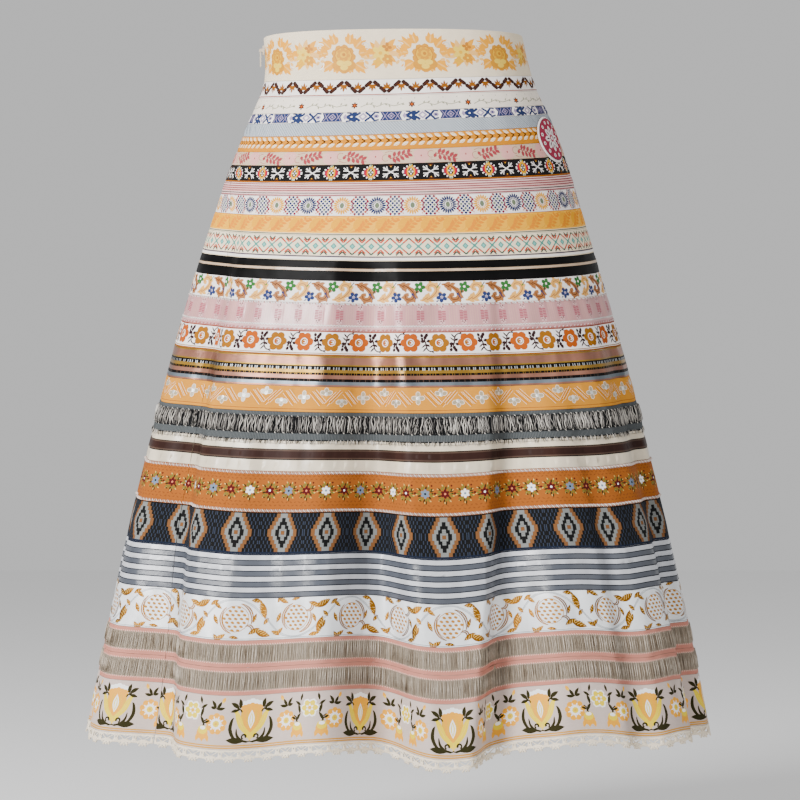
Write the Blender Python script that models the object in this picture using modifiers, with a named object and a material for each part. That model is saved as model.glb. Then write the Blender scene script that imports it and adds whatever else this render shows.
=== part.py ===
"""Ribbon skirt: a knee-length A-line skirt sewn together from rows of ribbon.

Twenty-seven ribbons run round the skirt one below the other, each joined edge to
edge with the next and closed in one seam on the wearer's right side, where a
concealed zip opens the top.  A cotton lace finishes the hem and a round patch is
sewn on near the other hip.

Sizes are in millimetres and degrees until place() turns them into metres.
+Z is up and the front faces -Y.  The origin is the centre of the waist, at the
middle of the waistband's height.  Round the skirt an angle of 0 is the side at +X,
90 the middle of the front, 180 the side at -X and 270 the middle of the back.
"""
import math
from collections import namedtuple

import bmesh
import bpy
from mathutils import Matrix, Vector

MM = 0.001
NAME = "ribbon_skirt"

# ---------------------------------------------------------------- driving sizes
WALL = 1.2              # thickness of ribbon and lace
GAP = 0.3               # between pieces, at every seam
STEP_GAP = 0.45         # bare top edge of the first ribbon whose columns follow the folds
FALL = 0.98             # drop for each unit of cloth, on the slope of the skirt
WAIST_UP = 24.5         # the top edge lies this far above the origin
PLAIN_COLUMNS = 32      # columns round a ribbon above the folds
FOLDED_BELOW = 205.0    # drop below which the columns follow the folds
TALL_RIBBON = 48.0      # a ribbon this wide has a middle row
MEAN_SEAM = 158.0       # mean angle of the side seam, from which plain columns are counted
SEAM_REACH = 75.0       # plain columns within this angle of the seam lean with it
SLOPE_COLUMN = 0.55     # a column stands this far up the gentle side of each fold
WIDE_COLUMN = 11.5      # columns further apart than this above the folds have one between

Ribbon = namedtuple("Ribbon", "name width colour roughness metallic")
RIBBONS = (
    Ribbon("waistband", 50.0, (0.80, 0.72, 0.58), 0.65, 0.0),
    Ribbon("leaf_zigzag", 16.5, (0.78, 0.74, 0.66), 0.70, 0.0),
    Ribbon("cream_sprig", 16.0, (0.86, 0.83, 0.74), 0.55, 0.0),
    Ribbon("blue_geometric", 10.0, (0.30, 0.40, 0.62), 0.60, 0.0),
    Ribbon("grey_twill", 13.0, (0.52, 0.55, 0.57), 0.70, 0.0),
    Ribbon("yellow_braid", 16.0, (0.86, 0.53, 0.08), 0.60, 0.0),
    Ribbon("pink_leaf", 14.0, (0.70, 0.60, 0.52), 0.65, 0.0),
    Ribbon("cross_stitch", 18.0, (0.03, 0.03, 0.04), 0.75, 0.0),
    Ribbon("red_stripe", 14.0, (0.66, 0.30, 0.30), 0.60, 0.0),
    Ribbon("medallion", 20.0, (0.80, 0.80, 0.76), 0.60, 0.0),
    Ribbon("yellow_leaf", 20.0, (0.92, 0.76, 0.36), 0.50, 0.0),
    Ribbon("diamond", 25.0, (0.76, 0.44, 0.32), 0.60, 0.0),
    Ribbon("black_satin", 20.0, (0.04, 0.04, 0.04), 0.35, 0.0),
    Ribbon("white_scroll", 22.0, (0.84, 0.78, 0.70), 0.55, 0.0),
    Ribbon("pink_moire", 27.5, (0.70, 0.50, 0.50), 0.45, 0.0),
    Ribbon("orange_flower", 24.5, (0.80, 0.52, 0.28), 0.60, 0.0),
    Ribbon("brown_metallic", 30.0, (0.42, 0.32, 0.24), 0.35, 0.3),
    Ribbon("peach_sequin", 25.0, (0.78, 0.48, 0.26), 0.50, 0.0),
    Ribbon("charcoal_boucle", 31.0, (0.12, 0.12, 0.13), 0.85, 0.0),
    Ribbon("cream_satin", 27.0, (0.74, 0.70, 0.64), 0.35, 0.0),
    Ribbon("orange_star", 40.0, (0.68, 0.32, 0.12), 0.55, 0.0),
    Ribbon("navy_ikat", 40.0, (0.05, 0.07, 0.14), 0.75, 0.0),
    Ribbon("grey_stripe", 42.5, (0.42, 0.44, 0.50), 0.35, 0.0),
    Ribbon("gold_brocade", 40.0, (0.72, 0.66, 0.55), 0.40, 0.1),
    Ribbon("upper_strands", 26.0, (0.54, 0.44, 0.38), 0.60, 0.0),
    Ribbon("lower_strands", 26.5, (0.54, 0.44, 0.38), 0.60, 0.0),
    Ribbon("tulip", 51.5, (0.66, 0.56, 0.50), 0.65, 0.0),
)
CLOTH_LENGTH = sum(ribbon.width for ribbon in RIBBONS)
HEM_DROP = CLOTH_LENGTH * FALL

# The bare form, level by level.  shift moves a level sideways; front and back are
# the half depths over the half width; dip raises the sides above the front and back,
# tilt raises the side at +X above the one at -X, square is the power of the outline
# (2 is an ellipse) and seam the angle of the side seam.
Level = namedtuple("Level", "drop half_width shift front back dip tilt square seam")
LEVELS = (
    Level(0.0, 129.5, -5.0, 0.73, 0.78, 0.0, 1.0, 2.40, 176.0),
    Level(25.0, 130.5, -2.0, 0.73, 0.78, 4.0, 2.0, 2.40, 176.0),
    Level(49.0, 134.0, 0.0, 0.73, 0.78, 8.0, 3.0, 2.35, 176.0),
    Level(70.0, 141.0, 0.0, 0.73, 0.78, 9.0, 4.0, 2.25, 176.0),
    Level(91.0, 150.5, 0.0, 0.73, 0.78, 10.0, 5.0, 2.15, 175.5),
    Level(112.0, 158.5, 0.0, 0.73, 0.78, 11.0, 5.5, 2.10, 173.0),
    Level(142.0, 170.0, 0.0, 0.72, 0.77, 11.0, 4.0, 2.05, 165.5),
    Level(173.0, 179.5, 0.0, 0.71, 0.76, 12.0, 2.5, 2.05, 158.0),
    Level(215.0, 192.0, 0.0, 0.70, 0.75, 14.0, 0.5, 2.10, 152.0),
    Level(275.0, 210.0, 0.0, 0.68, 0.74, 15.0, 0.0, 2.15, 147.0),
    Level(374.0, 238.0, 0.0, 0.65, 0.72, 13.5, 0.0, 2.25, 146.2),
    Level(494.0, 267.5, 0.0, 0.62, 0.70, 14.0, 0.0, 2.40, 145.0),
    Level(610.0, 293.0, 0.0, 0.60, 0.68, 12.0, 0.0, 2.50, 141.5),
    Level(712.0, 313.0, 0.0, 0.59, 0.67, 12.0, 0.0, 2.50, 141.0),
)

# The folds, in order from the seam round by the front.  Each valley starts at a drop
# and runs down to the hem, from its top angle to its hem angle; before and after are
# its half widths in degrees on the side of the smaller and of the larger angle (the
# narrow one is the steep wall of the fold), depth is its depth at the hem and ease
# the power with which it grows on the way there.
Valley = namedtuple("Valley", "start top_angle hem_angle before after depth ease")
VALLEYS = (
    Valley(140.0, 151.0, 137.5, 9.5, 19.0, 38.0, 0.9),
    Valley(230.0, 119.0, 112.5, 8.0, 10.0, 14.0, 0.8),
    Valley(205.0, 98.0, 92.0, 8.5, 12.0, 50.0, 0.7),
    Valley(185.0, 59.0, 72.0, 12.0, 5.5, 44.0, 1.3),
    Valley(300.0, 46.0, 45.0, 7.0, 4.0, 8.0, 1.0),
    Valley(230.0, 23.0, 20.0, 7.0, 10.0, 18.0, 1.0),
    Valley(240.0, 358.0, 355.0, 11.0, 8.0, 20.0, 0.9),
    Valley(210.0, 333.0, 335.0, 7.0, 13.0, 34.0, 0.9),
    Valley(260.0, 310.0, 307.0, 10.0, 10.0, 18.0, 0.8),
    Valley(200.0, 283.0, 285.0, 13.0, 6.5, 42.0, 1.0),
    Valley(280.0, 262.0, 261.0, 9.0, 9.0, 16.0, 0.9),
    Valley(220.0, 238.0, 239.0, 7.5, 12.0, 38.0, 0.8),
    Valley(250.0, 215.0, 216.0, 11.0, 9.0, 22.0, 0.9),
    Valley(230.0, 193.0, 191.0, 9.0, 9.0, 18.0, 1.0),
    Valley(320.0, 174.0, 170.0, 7.0, 8.0, 6.0, 1.0),
)

# Where the cloth hangs lower or higher than its neighbours, at the hem.
Sag = namedtuple("Sag", "angle half_width sag")
SAG_START = 350.0       # drop at which the sags start
SAG_EASE = 1.3          # power with which they grow from there to the hem
SAGS = (
    Sag(122.0, 16.0, 5.0),
    Sag(101.0, 14.0, -5.0),
    Sag(81.0, 15.0, 11.0),
    Sag(57.0, 18.0, -10.0),
    Sag(33.0, 12.0, -3.0),
    Sag(345.0, 20.0, 4.0),
    Sag(318.0, 16.0, -5.0),
    Sag(295.0, 14.0, 8.0),
    Sag(270.0, 15.0, -6.0),
    Sag(247.0, 14.0, 5.0),
    Sag(203.0, 20.0, -4.0),
)

LACE_WIDTH = 12.5
LACE_COUNT = 94         # openings round the hem
LACE_RAIL = 1.2         # upper band of the lace, above its openings
LACE_OPENING = 6.0      # height of an opening
LACE_POST = 0.30        # share of one repeat that is the post between openings
LACE_NOTCH = 3.2        # the edge is this much higher between two scallops
LACE_END = 0.01         # bare end of each length of lace, as a share of a repeat
LACE_NEAR = 0.01        # a corner nearer to a post than this, in columns, is left out
LACE_COLOUR = (0.84, 0.78, 0.66)

PATCH_ANGLE = 21.0
PATCH_DROP = 116.0
PATCH_RADIUS = 23.0
PATCH_WALL = 1.0
PATCH_SIDES = 20
PATCH_RINGS = 3
PATCH_COLOUR = (0.62, 0.16, 0.22)

ZIP_TOP = 3.0           # drop of the upper end of the zip's tape
ZIP_BOTTOM = 190.0
ZIP_ROWS = 13
TAPE_WIDTH = 20.0
TAPE_WALL = 1.0
TAPE_IN = 3.6           # from the outside of the ribbons to the tape's outside
SLIDER_DROP = 13.0      # drop of the pull's hinge
SLIDER_WIDTH = 6.4
SLIDER_HEIGHT = 9.0
SLIDER_DEPTH = 1.4
SLIDER_GAP = 0.7        # at the slider's middle, over the curve of the waistband
LUG_WIDTH = 1.0
LUG_HEIGHT = 3.0
HINGE_OUT = 2.0         # from the slider's face to the hinge's axis
PIN_RADIUS = 0.55
EYE_RADIUS = 1.6
EYE_HOLE = 0.9
EYE_SIDES = 16
PULL_LENGTH = 16.5
PULL_THICKNESS = 1.2
ZIP_COLOUR = (0.66, 0.55, 0.38)


# ------------------------------------------------------------- the skirt's form
def level_at(drop):
    """The bare form at a drop, on a smooth curve through the table's rows."""
    last = len(LEVELS) - 2
    row = next((i for i in range(last) if drop < LEVELS[i + 1].drop), last)
    low, high = LEVELS[row], LEVELS[row + 1]
    span = high.drop - low.drop
    share = (drop - low.drop) / span

    def slope(index, column):
        before = LEVELS[max(index - 1, 0)]
        after = LEVELS[min(index + 1, len(LEVELS) - 1)]
        return (after[column] - before[column]) / (after.drop - before.drop) * span

    ease = (2.0 * share ** 3 - 3.0 * share ** 2 + 1.0, share ** 3 - 2.0 * share ** 2 + share,
            3.0 * share ** 2 - 2.0 * share ** 3, share ** 3 - share ** 2)
    return Level(*(ease[0] * low[c] + ease[1] * slope(row, c)
                   + ease[2] * high[c] + ease[3] * slope(row + 1, c)
                   for c in range(len(Level._fields))))


def bell(offset, before, after):
    """1 at no offset, easing to 0 at -before and at +after."""
    reach = before if offset < 0.0 else after
    if abs(offset) >= reach:
        return 0.0
    return 0.5 + 0.5 * math.cos(math.pi * offset / reach)


def turn(angle):
    """An angle brought between -180 and 180."""
    return (angle + 180.0) % 360.0 - 180.0


def valley_share(valley, drop):
    """0 where a valley starts and 1 at the hem."""
    return max(0.0, (drop - valley.start) / (HEM_DROP - valley.start))


def valley_foot(valley, drop):
    """The angle of a valley's deepest line at a drop."""
    share = valley_share(valley, drop)
    return valley.top_angle + (valley.hem_angle - valley.top_angle) * share


def fold_depth(angle, drop):
    """How far the folds draw the cloth in."""
    depth = 0.0
    for valley in VALLEYS:
        grown = valley_share(valley, drop) ** valley.ease
        offset = turn(angle - valley_foot(valley, drop))
        depth += valley.depth * grown * bell(offset, valley.before, valley.after)
    return depth


def sag_depth(angle, drop):
    """How much lower the cloth hangs in its long folds."""
    share = max(0.0, (drop - SAG_START) / (HEM_DROP - SAG_START)) ** SAG_EASE
    return share * sum(row.sag * bell(turn(angle - row.angle), row.half_width, row.half_width)
                       for row in SAGS)


def place(angle, drop, out=0.0):
    """A point of the skirt's outer surface, moved out of it, in metres."""
    level = level_at(drop)
    across = math.cos(math.radians(angle))
    ahead = math.sin(math.radians(angle))
    half_depth = level.half_width * (level.front if ahead > 0.0 else level.back)
    power = level.square
    scale = (abs(across) ** power + abs(ahead) ** power) ** (-1.0 / power)
    normal = Vector((across / level.half_width, -ahead / half_depth, 0.0)).normalized()
    middle = ahead * ahead * 1.15 / (abs(ahead) + 0.15)
    height = (WAIST_UP - drop + level.dip * (1.0 - middle) + level.tilt * across
              - sag_depth(angle, drop))
    point = Vector((level.shift + level.half_width * across * scale,
                    -half_depth * ahead * scale, height))
    return (point + normal * (out - fold_depth(angle, drop))) * MM


def seam_gap(level):
    """The angle between the seam and either end of a ribbon."""
    return math.degrees(0.6 * GAP / (level.half_width * level.front))


def plain_columns(drop):
    """Columns above the folds: the first and last follow the seam, the rest stand still."""
    level = level_at(drop)
    angles = []
    for column in range(PLAIN_COLUMNS + 1):
        away = 360.0 * min(column, PLAIN_COLUMNS - column) / PLAIN_COLUMNS
        lean = (level.seam - MEAN_SEAM) * bell(away, SEAM_REACH, SEAM_REACH)
        angles.append(MEAN_SEAM - 360.0 * column / PLAIN_COLUMNS + lean)
    angles[0] -= seam_gap(level)
    angles[-1] += seam_gap(level)
    return angles


def fold_columns(drop):
    """Columns that follow the folds: on the slope, at the foot and by the crest of each."""
    angles = fold_angles(drop)
    first = fold_angles(FOLDED_BELOW)
    columns = angles[:1]
    for before, after, wide_before, wide_after in zip(angles, angles[1:], first, first[1:]):
        if wide_before - wide_after > WIDE_COLUMN:
            columns.append((before + after) / 2.0)
        columns.append(after)
    return columns


def fold_angles(drop):
    """The ends of a ribbon and three places on each fold, from seam to seam."""
    level = level_at(drop)
    angles = []
    for valley in VALLEYS:
        foot = valley_foot(valley, drop)
        angles += [foot + valley.after * SLOPE_COLUMN, foot, foot - valley.before]
    angles = [angle if angle < level.seam else angle - 360.0 for angle in angles]
    inside = sorted(angles, reverse=True)
    return [level.seam - seam_gap(level), *inside, level.seam - 360.0 + seam_gap(level)]


# ------------------------------------------------------------------ scene helpers
def clear_scene():
    for item in list(bpy.data.objects):
        bpy.data.objects.remove(item, do_unlink=True)


def make_material(name, colour, roughness, metallic=0.0):
    material = bpy.data.materials.new(name)
    material.use_nodes = True
    shader = material.node_tree.nodes["Principled BSDF"]
    shader.inputs["Base Color"].default_value = (*colour, 1.0)
    shader.inputs["Roughness"].default_value = roughness
    shader.inputs["Metallic"].default_value = metallic
    material.diffuse_color = (*colour, 1.0)
    return material


def add_object(name, data, collection, material):
    item = bpy.data.objects.new(name, data)
    collection.objects.link(item)
    item.data.materials.append(material)
    return item


def mesh_from(name, build):
    """A mesh filled by build(bm)."""
    mesh = bpy.data.meshes.new(name)
    bm = bmesh.new()
    build(bm)
    bm.to_mesh(mesh)
    bm.free()
    return mesh


def thicken(item, wall, offset=-1.0):
    """Solidify: by default the wall grows inward from the outer surface."""
    modifier = item.modifiers.new("wall", "SOLIDIFY")
    modifier.thickness = wall * MM
    modifier.offset = offset
    return modifier


def shade(mesh):
    mesh.shade_smooth()
    mesh.set_sharp_from_angle(angle=math.radians(40.0))


# ------------------------------------------------------------------ the ribbons
def build_strip(bm, drops, columns_at):
    """An open surface from seam to seam, its faces looking out."""
    grid = [[bm.verts.new(place(angle, drop)) for angle in columns_at(drop)]
            for drop in drops]
    for upper, lower in zip(grid, grid[1:]):
        for i in range(len(upper) - 1):
            bm.faces.new((upper[i], lower[i], lower[i + 1], upper[i + 1]))


def make_ribbon(ribbon, top, collection):
    """One ribbon, from the seam all the way round to the seam."""
    bottom = top + ribbon.width * FALL
    columns_at = fold_columns if bottom > FOLDED_BELOW else plain_columns
    spans = 2 if ribbon.width >= TALL_RIBBON else 1
    first_folded = top < FOLDED_BELOW < bottom
    upper = top + (STEP_GAP if first_folded else GAP / 2.0)
    lower = bottom - GAP / 2.0
    drops = [upper + (lower - upper) * row / spans for row in range(spans + 1)]
    mesh = mesh_from(ribbon.name, lambda bm: build_strip(bm, drops, columns_at))
    shade(mesh)
    material = make_material(ribbon.name, ribbon.colour, ribbon.roughness, ribbon.metallic)
    item = add_object(ribbon.name, mesh, collection, material)
    thicken(item, WALL)
    return item


# --------------------------------------------------------------------- the lace
def build_lace(bm, first, last):
    """Repeats first to last of the edging: post, opening and the scallop under it.

    Places along the hem are counted in columns of the ribbon above, and lie on the
    straight line between two columns, so that the lace meets that ribbon all along.
    """
    top = HEM_DROP + GAP / 2.0
    rail = top + LACE_RAIL
    sill = rail + LACE_OPENING
    edge = top + LACE_WIDTH
    notch = edge - LACE_NOTCH
    corners = {drop: [place(angle, drop) for angle in fold_columns(drop)]
               for drop in (top, rail, sill, notch, edge)}
    run = [0.0]
    for one, two in zip(corners[top], corners[top][1:]):
        run.append(run[-1] + (two - one).length)

    def column_place(share):
        """The place of a share of the whole hem, in columns."""
        length = run[-1] * share
        column = max(i for i in range(len(run) - 1) if run[i] <= length)
        return column + (length - run[column]) / (run[column + 1] - run[column])

    def vertex(place_along, drop):
        before = min(int(place_along), len(run) - 2)
        one, two = corners[drop][before:before + 2]
        return bm.verts.new(one.lerp(two, place_along - before))

    def station(place_along, lowest):
        return [vertex(place_along, drop) for drop in (top, rail, sill, lowest)]

    def corners_between(low, high):
        """Places in between where the ribbon above has a corner."""
        spots = range(int(low) + 1, math.ceil(high))
        return [float(spot) for spot in spots if min(spot - low, high - spot) > LACE_NEAR]

    def join(one, two, rows):
        for row in rows:
            bm.faces.new((one[row], one[row + 1], two[row + 1], two[row]))

    start = column_place((first + LACE_END) / LACE_COUNT)
    left = station(start, notch)
    for repeat in range(first, last):
        middle = column_place((repeat + LACE_POST) / LACE_COUNT)
        end_repeat = repeat + 1.0 - (LACE_END if repeat == last - 1 else 0.0)
        end = column_place(end_repeat / LACE_COUNT)
        for spot in (*corners_between(start, middle), middle):
            post = station(spot, notch)
            join(left, post, (0, 1, 2))
            left = post
        right = station(end, notch)
        corners_over = corners_between(middle, end)
        if corners_over:
            lobe = station(corners_over[0], edge)
            join(left, lobe, (0, 2))
            join(lobe, right, (0, 2))
        else:
            lobe = vertex((middle + end) / 2.0, edge)
            join(left, right, (0,))
            bm.faces.new((left[2], left[3], lobe, right[3], right[2]))
        left = right
        start = end


def make_lace(name, first, last, material, collection):
    mesh = mesh_from(name, lambda bm: build_lace(bm, first, last))
    shade(mesh)
    item = add_object(name, mesh, collection, material)
    thicken(item, WALL)
    return item


# -------------------------------------------------------------------- the patch
def build_patch(bm):
    """A disc of rings round its middle, laid on the skirt's own surface."""
    middle_level = level_at(PATCH_DROP)
    radians = math.radians(PATCH_ANGLE)
    pace = math.hypot(middle_level.half_width * math.sin(radians),
                      middle_level.half_width * middle_level.front * math.cos(radians))
    rings = [[bm.verts.new(place(PATCH_ANGLE, PATCH_DROP, GAP))]]
    for ring in range(1, PATCH_RINGS + 1):
        radius = PATCH_RADIUS * ring / PATCH_RINGS
        row = []
        for side in range(PATCH_SIDES):
            way = 2.0 * math.pi * side / PATCH_SIDES
            angle = PATCH_ANGLE + math.degrees(radius * math.cos(way) / pace)
            drop = PATCH_DROP + radius * math.sin(way) * FALL
            row.append(bm.verts.new(place(angle, drop, GAP)))
        rings.append(row)
    for side in range(PATCH_SIDES):
        following = (side + 1) % PATCH_SIDES
        bm.faces.new((rings[0][0], rings[1][side], rings[1][following]))
        for inner, outer in zip(rings[1:], rings[2:]):
            bm.faces.new((inner[side], outer[side], outer[following], inner[following]))


def make_patch(collection):
    mesh = mesh_from("patch", build_patch)
    shade(mesh)
    item = add_object("patch", mesh, collection, make_material("patch", PATCH_COLOUR, 0.7))
    thicken(item, PATCH_WALL, offset=1.0)
    return item


# ---------------------------------------------------------------------- the zip
def build_tape(bm):
    """The tape behind the seam, a flat strip across it."""
    rows = []
    for row in range(ZIP_ROWS):
        drop = ZIP_TOP + (ZIP_BOTTOM - ZIP_TOP) * row / (ZIP_ROWS - 1)
        level = level_at(drop)
        half_angle = math.degrees(TAPE_WIDTH / 2.0 / (level.half_width * level.front))
        rows.append([bm.verts.new(place(level.seam + side * half_angle, drop, -TAPE_IN))
                     for side in (1.0, -1.0)])
    for upper, lower in zip(rows, rows[1:]):
        bm.faces.new((upper[0], lower[0], lower[1], upper[1]))


def make_tape(material, collection):
    item = add_object("zip_tape", mesh_from("zip_tape", build_tape), collection, material)
    thicken(item, TAPE_WALL)
    return item


def box_mesh(name, size, middle):
    def build(bm):
        bmesh.ops.create_cube(bm, size=1.0)
        bmesh.ops.scale(bm, vec=Vector(size) * MM, verts=bm.verts[:])
        bmesh.ops.translate(bm, vec=Vector(middle) * MM, verts=bm.verts[:])
    return mesh_from(name, build)


def pin_mesh(name, length):
    def build(bm):
        bmesh.ops.create_cone(bm, cap_ends=True, segments=EYE_SIDES, radius1=PIN_RADIUS * MM,
                              radius2=PIN_RADIUS * MM, depth=length * MM,
                              matrix=Matrix.Rotation(math.pi / 2.0, 4, "Y"))
    return mesh_from(name, build)


def join_in(item, mesh, cutters):
    """Unite a mesh, given in the item's own space, with the item."""
    extra = bpy.data.objects.new(mesh.name, mesh)
    cutters.objects.link(extra)
    extra.parent = item.parent
    extra.hide_render = True
    extra.display_type = "WIRE"
    modifier = item.modifiers.new("join", "BOOLEAN")
    modifier.operation = "UNION"
    modifier.object = extra
    return modifier


def hinge_empty(collection):
    """An empty on the pull's hinge: its X runs along the pin, its Y outward."""
    seat = level_at(SLIDER_DROP).seam
    spot = place(seat, SLIDER_DROP, SLIDER_GAP + SLIDER_DEPTH + HINGE_OUT)
    outward = (spot - place(seat, SLIDER_DROP)).normalized()
    empty = bpy.data.objects.new("zip_hinge", None)
    collection.objects.link(empty)
    empty.location = spot
    empty.rotation_euler = (0.0, 0.0, math.atan2(outward.y, outward.x) - math.pi / 2.0)
    return empty


def make_slider(hinge, material, collection, cutters):
    """A base plate against the waistband, with two lugs that hold a pin."""
    base_middle = -HINGE_OUT - SLIDER_DEPTH / 2.0
    base = box_mesh("zip_slider", (SLIDER_WIDTH, SLIDER_DEPTH, SLIDER_HEIGHT),
                    (0.0, base_middle, 0.0))
    item = add_object("zip_slider", base, collection, material)
    item.parent = hinge
    lug_depth = HINGE_OUT + EYE_HOLE + SLIDER_DEPTH / 2.0
    lug_middle = (EYE_HOLE - HINGE_OUT - SLIDER_DEPTH / 2.0) / 2.0
    lug_side = (SLIDER_WIDTH - LUG_WIDTH) / 2.0 - 0.1
    for side in (-1.0, 1.0):
        lug = box_mesh("zip_lug", (LUG_WIDTH, lug_depth, LUG_HEIGHT),
                       (side * lug_side, lug_middle, 0.0))
        join_in(item, lug, cutters)
    join_in(item, pin_mesh("zip_pin", 2.0 * lug_side), cutters)
    return item


def pull_outline():
    """The pull seen along its pin: an eye with a thin tongue below it."""
    half = PULL_THICKNESS / 2.0
    neck = math.asin(half / EYE_RADIUS)
    arc = [-math.pi / 2.0 + neck + (2.0 * math.pi - 2.0 * neck) * i / EYE_SIDES
           for i in range(EYE_SIDES + 1)]
    points = [(EYE_RADIUS * math.cos(a), EYE_RADIUS * math.sin(a)) for a in arc]
    foot = -PULL_LENGTH
    points += [(-half, foot + half), (-half * 0.5, foot), (half * 0.5, foot), (half, foot + half)]
    return points


def make_pull(hinge, material, collection):
    """The pull tab, which turns on the slider's pin."""
    curve = bpy.data.curves.new("zip_pull_outline", "CURVE")
    curve.dimensions = "2D"
    curve.fill_mode = "BOTH"
    width = SLIDER_WIDTH - 2.0 * LUG_WIDTH - 0.2 - 2.0 * GAP
    curve.extrude = width / 2.0 * MM
    hole = [(EYE_HOLE * math.cos(2.0 * math.pi * i / EYE_SIDES),
             EYE_HOLE * math.sin(2.0 * math.pi * i / EYE_SIDES)) for i in range(EYE_SIDES)]
    for outline in (pull_outline(), hole):
        spline = curve.splines.new("POLY")
        spline.points.add(len(outline) - 1)
        for point, (x, y) in zip(spline.points, outline):
            point.co = (x * MM, y * MM, 0.0, 1.0)
        spline.use_cyclic_u = True
    flat = bpy.data.objects.new("zip_pull_outline", curve)
    collection.objects.link(flat)
    bpy.context.view_layer.update()
    evaluated = flat.evaluated_get(bpy.context.evaluated_depsgraph_get())
    mesh = bpy.data.meshes.new_from_object(evaluated)
    bpy.data.objects.remove(flat, do_unlink=True)
    bm = bmesh.new()
    bm.from_mesh(mesh)
    bmesh.ops.remove_doubles(bm, verts=bm.verts[:], dist=1e-6)
    upright = Matrix(((0.0, 0.0, 1.0), (1.0, 0.0, 0.0), (0.0, 1.0, 0.0)))
    bmesh.ops.transform(bm, matrix=upright.to_4x4(), verts=bm.verts[:])
    bmesh.ops.recalc_face_normals(bm, faces=bm.faces[:])
    bm.to_mesh(mesh)
    bm.free()
    mesh.name = "zip_pull"
    item = add_object("zip_pull", mesh, collection, material)
    item.parent = hinge
    return item


# ------------------------------------------------------------------------ build
def main():
    clear_scene()
    collection = bpy.data.collections.new(NAME)
    cutters = bpy.data.collections.new("cutters")
    bpy.context.scene.collection.children.link(collection)
    bpy.context.scene.collection.children.link(cutters)

    top = 0.0
    for ribbon in RIBBONS:
        make_ribbon(ribbon, top, collection)
        top += ribbon.width * FALL

    lace = make_material("lace", LACE_COLOUR, 0.85)
    make_lace("lace_front", 0, LACE_COUNT // 2, lace, collection)
    make_lace("lace_back", LACE_COUNT // 2, LACE_COUNT, lace, collection)
    make_patch(collection)

    metal = make_material("zip_metal", ZIP_COLOUR, 0.4, 0.6)
    make_tape(make_material("zip_tape", LACE_COLOUR, 0.8), collection)
    hinge = hinge_empty(collection)
    make_slider(hinge, metal, collection, cutters)
    make_pull(hinge, metal, collection)


main()
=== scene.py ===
import math

import bpy
import numpy as np
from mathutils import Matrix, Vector
from mathutils.geometry import delaunay_2d_cdt


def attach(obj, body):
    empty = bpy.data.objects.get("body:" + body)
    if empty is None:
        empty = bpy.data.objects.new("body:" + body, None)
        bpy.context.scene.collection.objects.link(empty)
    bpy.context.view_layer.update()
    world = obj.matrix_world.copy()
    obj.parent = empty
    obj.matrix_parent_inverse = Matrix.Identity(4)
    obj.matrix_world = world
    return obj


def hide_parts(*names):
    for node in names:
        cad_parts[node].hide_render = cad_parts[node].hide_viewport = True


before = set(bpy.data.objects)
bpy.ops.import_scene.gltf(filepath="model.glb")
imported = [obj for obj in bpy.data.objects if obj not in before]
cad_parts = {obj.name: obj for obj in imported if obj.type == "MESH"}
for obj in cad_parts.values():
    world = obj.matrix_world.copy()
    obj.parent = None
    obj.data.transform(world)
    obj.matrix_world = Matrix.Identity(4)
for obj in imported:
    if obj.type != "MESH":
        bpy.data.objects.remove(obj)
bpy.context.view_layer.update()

MM = 0.001

# ------------------------------------------------------------------ the form
# The same form as the solids: drops down the cloth and half widths in millimetres,
# angles in degrees from +X round by the front.
GAP = 0.3           # between one piece and the next
WALL = 1.1          # thickness of the cloth
FALL = 0.98         # drop for each millimetre down the cloth
WAIST_UP = 24.5     # height of the top edge over the frame's origin, before dip and tilt
LACE_WIDTH = 12.5
LACE_END = 0.05     # left free at each end of a length of lace
PATCH_ANGLE, PATCH_DROP, PATCH_RADIUS, PATCH_WALL = 21.0, 116.0, 23.0, 1.0
SAG_START, SAG_EASE = 350.0, 1.3    # the drop where the hem's sag starts, and its power
DIP_ROUND = 0.15    # how softly the dip turns at the sides
# name, width, where a motif's middle falls in the front's own x, or 0 where any place
# will do, and how much the seams pucker
RIBBONS = (
    ("waistband", 50.0, 25.3, 0.08), ("leaf_zigzag", 16.5, 3.1, 0.1),
    ("cream_sprig", 16.0, 13.6, 0.12), ("blue_geometric", 10.0, -18.0, 0.12),
    ("grey_twill", 13.0, 0.0, 0.15), ("yellow_braid", 16.0, 0.0, 0.15),
    ("pink_leaf", 14.0, 22.3, 0.15), ("cross_stitch", 18.0, 12.6, 0.15),
    ("red_stripe", 14.0, 0.0, 0.2), ("medallion", 20.0, 14.2, 0.15),
    ("yellow_leaf", 20.0, 0.0, 0.2), ("diamond", 25.0, -7.5, 0.2), ("black_satin", 20.0, 0.0, 0.25),
    ("white_scroll", 22.0, 21.0, 0.2), ("pink_moire", 27.5, 11.7, 0.3),
    ("orange_flower", 24.5, 12.1, 0.3), ("brown_metallic", 30.0, 0.0, 0.35),
    ("peach_sequin", 25.0, 19.4, 0.3), ("charcoal_boucle", 31.0, 0.0, 0.3),
    ("cream_satin", 27.0, 0.0, 0.45), ("orange_star", 40.0, 7.7, 0.3),
    ("navy_ikat", 40.0, -68.0, 0.3), ("grey_stripe", 42.5, 0.0, 0.35),
    ("gold_brocade", 40.0, 49.8, 0.35), ("upper_strands", 26.0, 0.0, 0.25),
    ("lower_strands", 26.5, 0.0, 0.25), ("tulip", 51.5, -36.0, 0.25))
HEM_DROP = sum(ribbon[1] for ribbon in RIBBONS) * FALL
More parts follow.
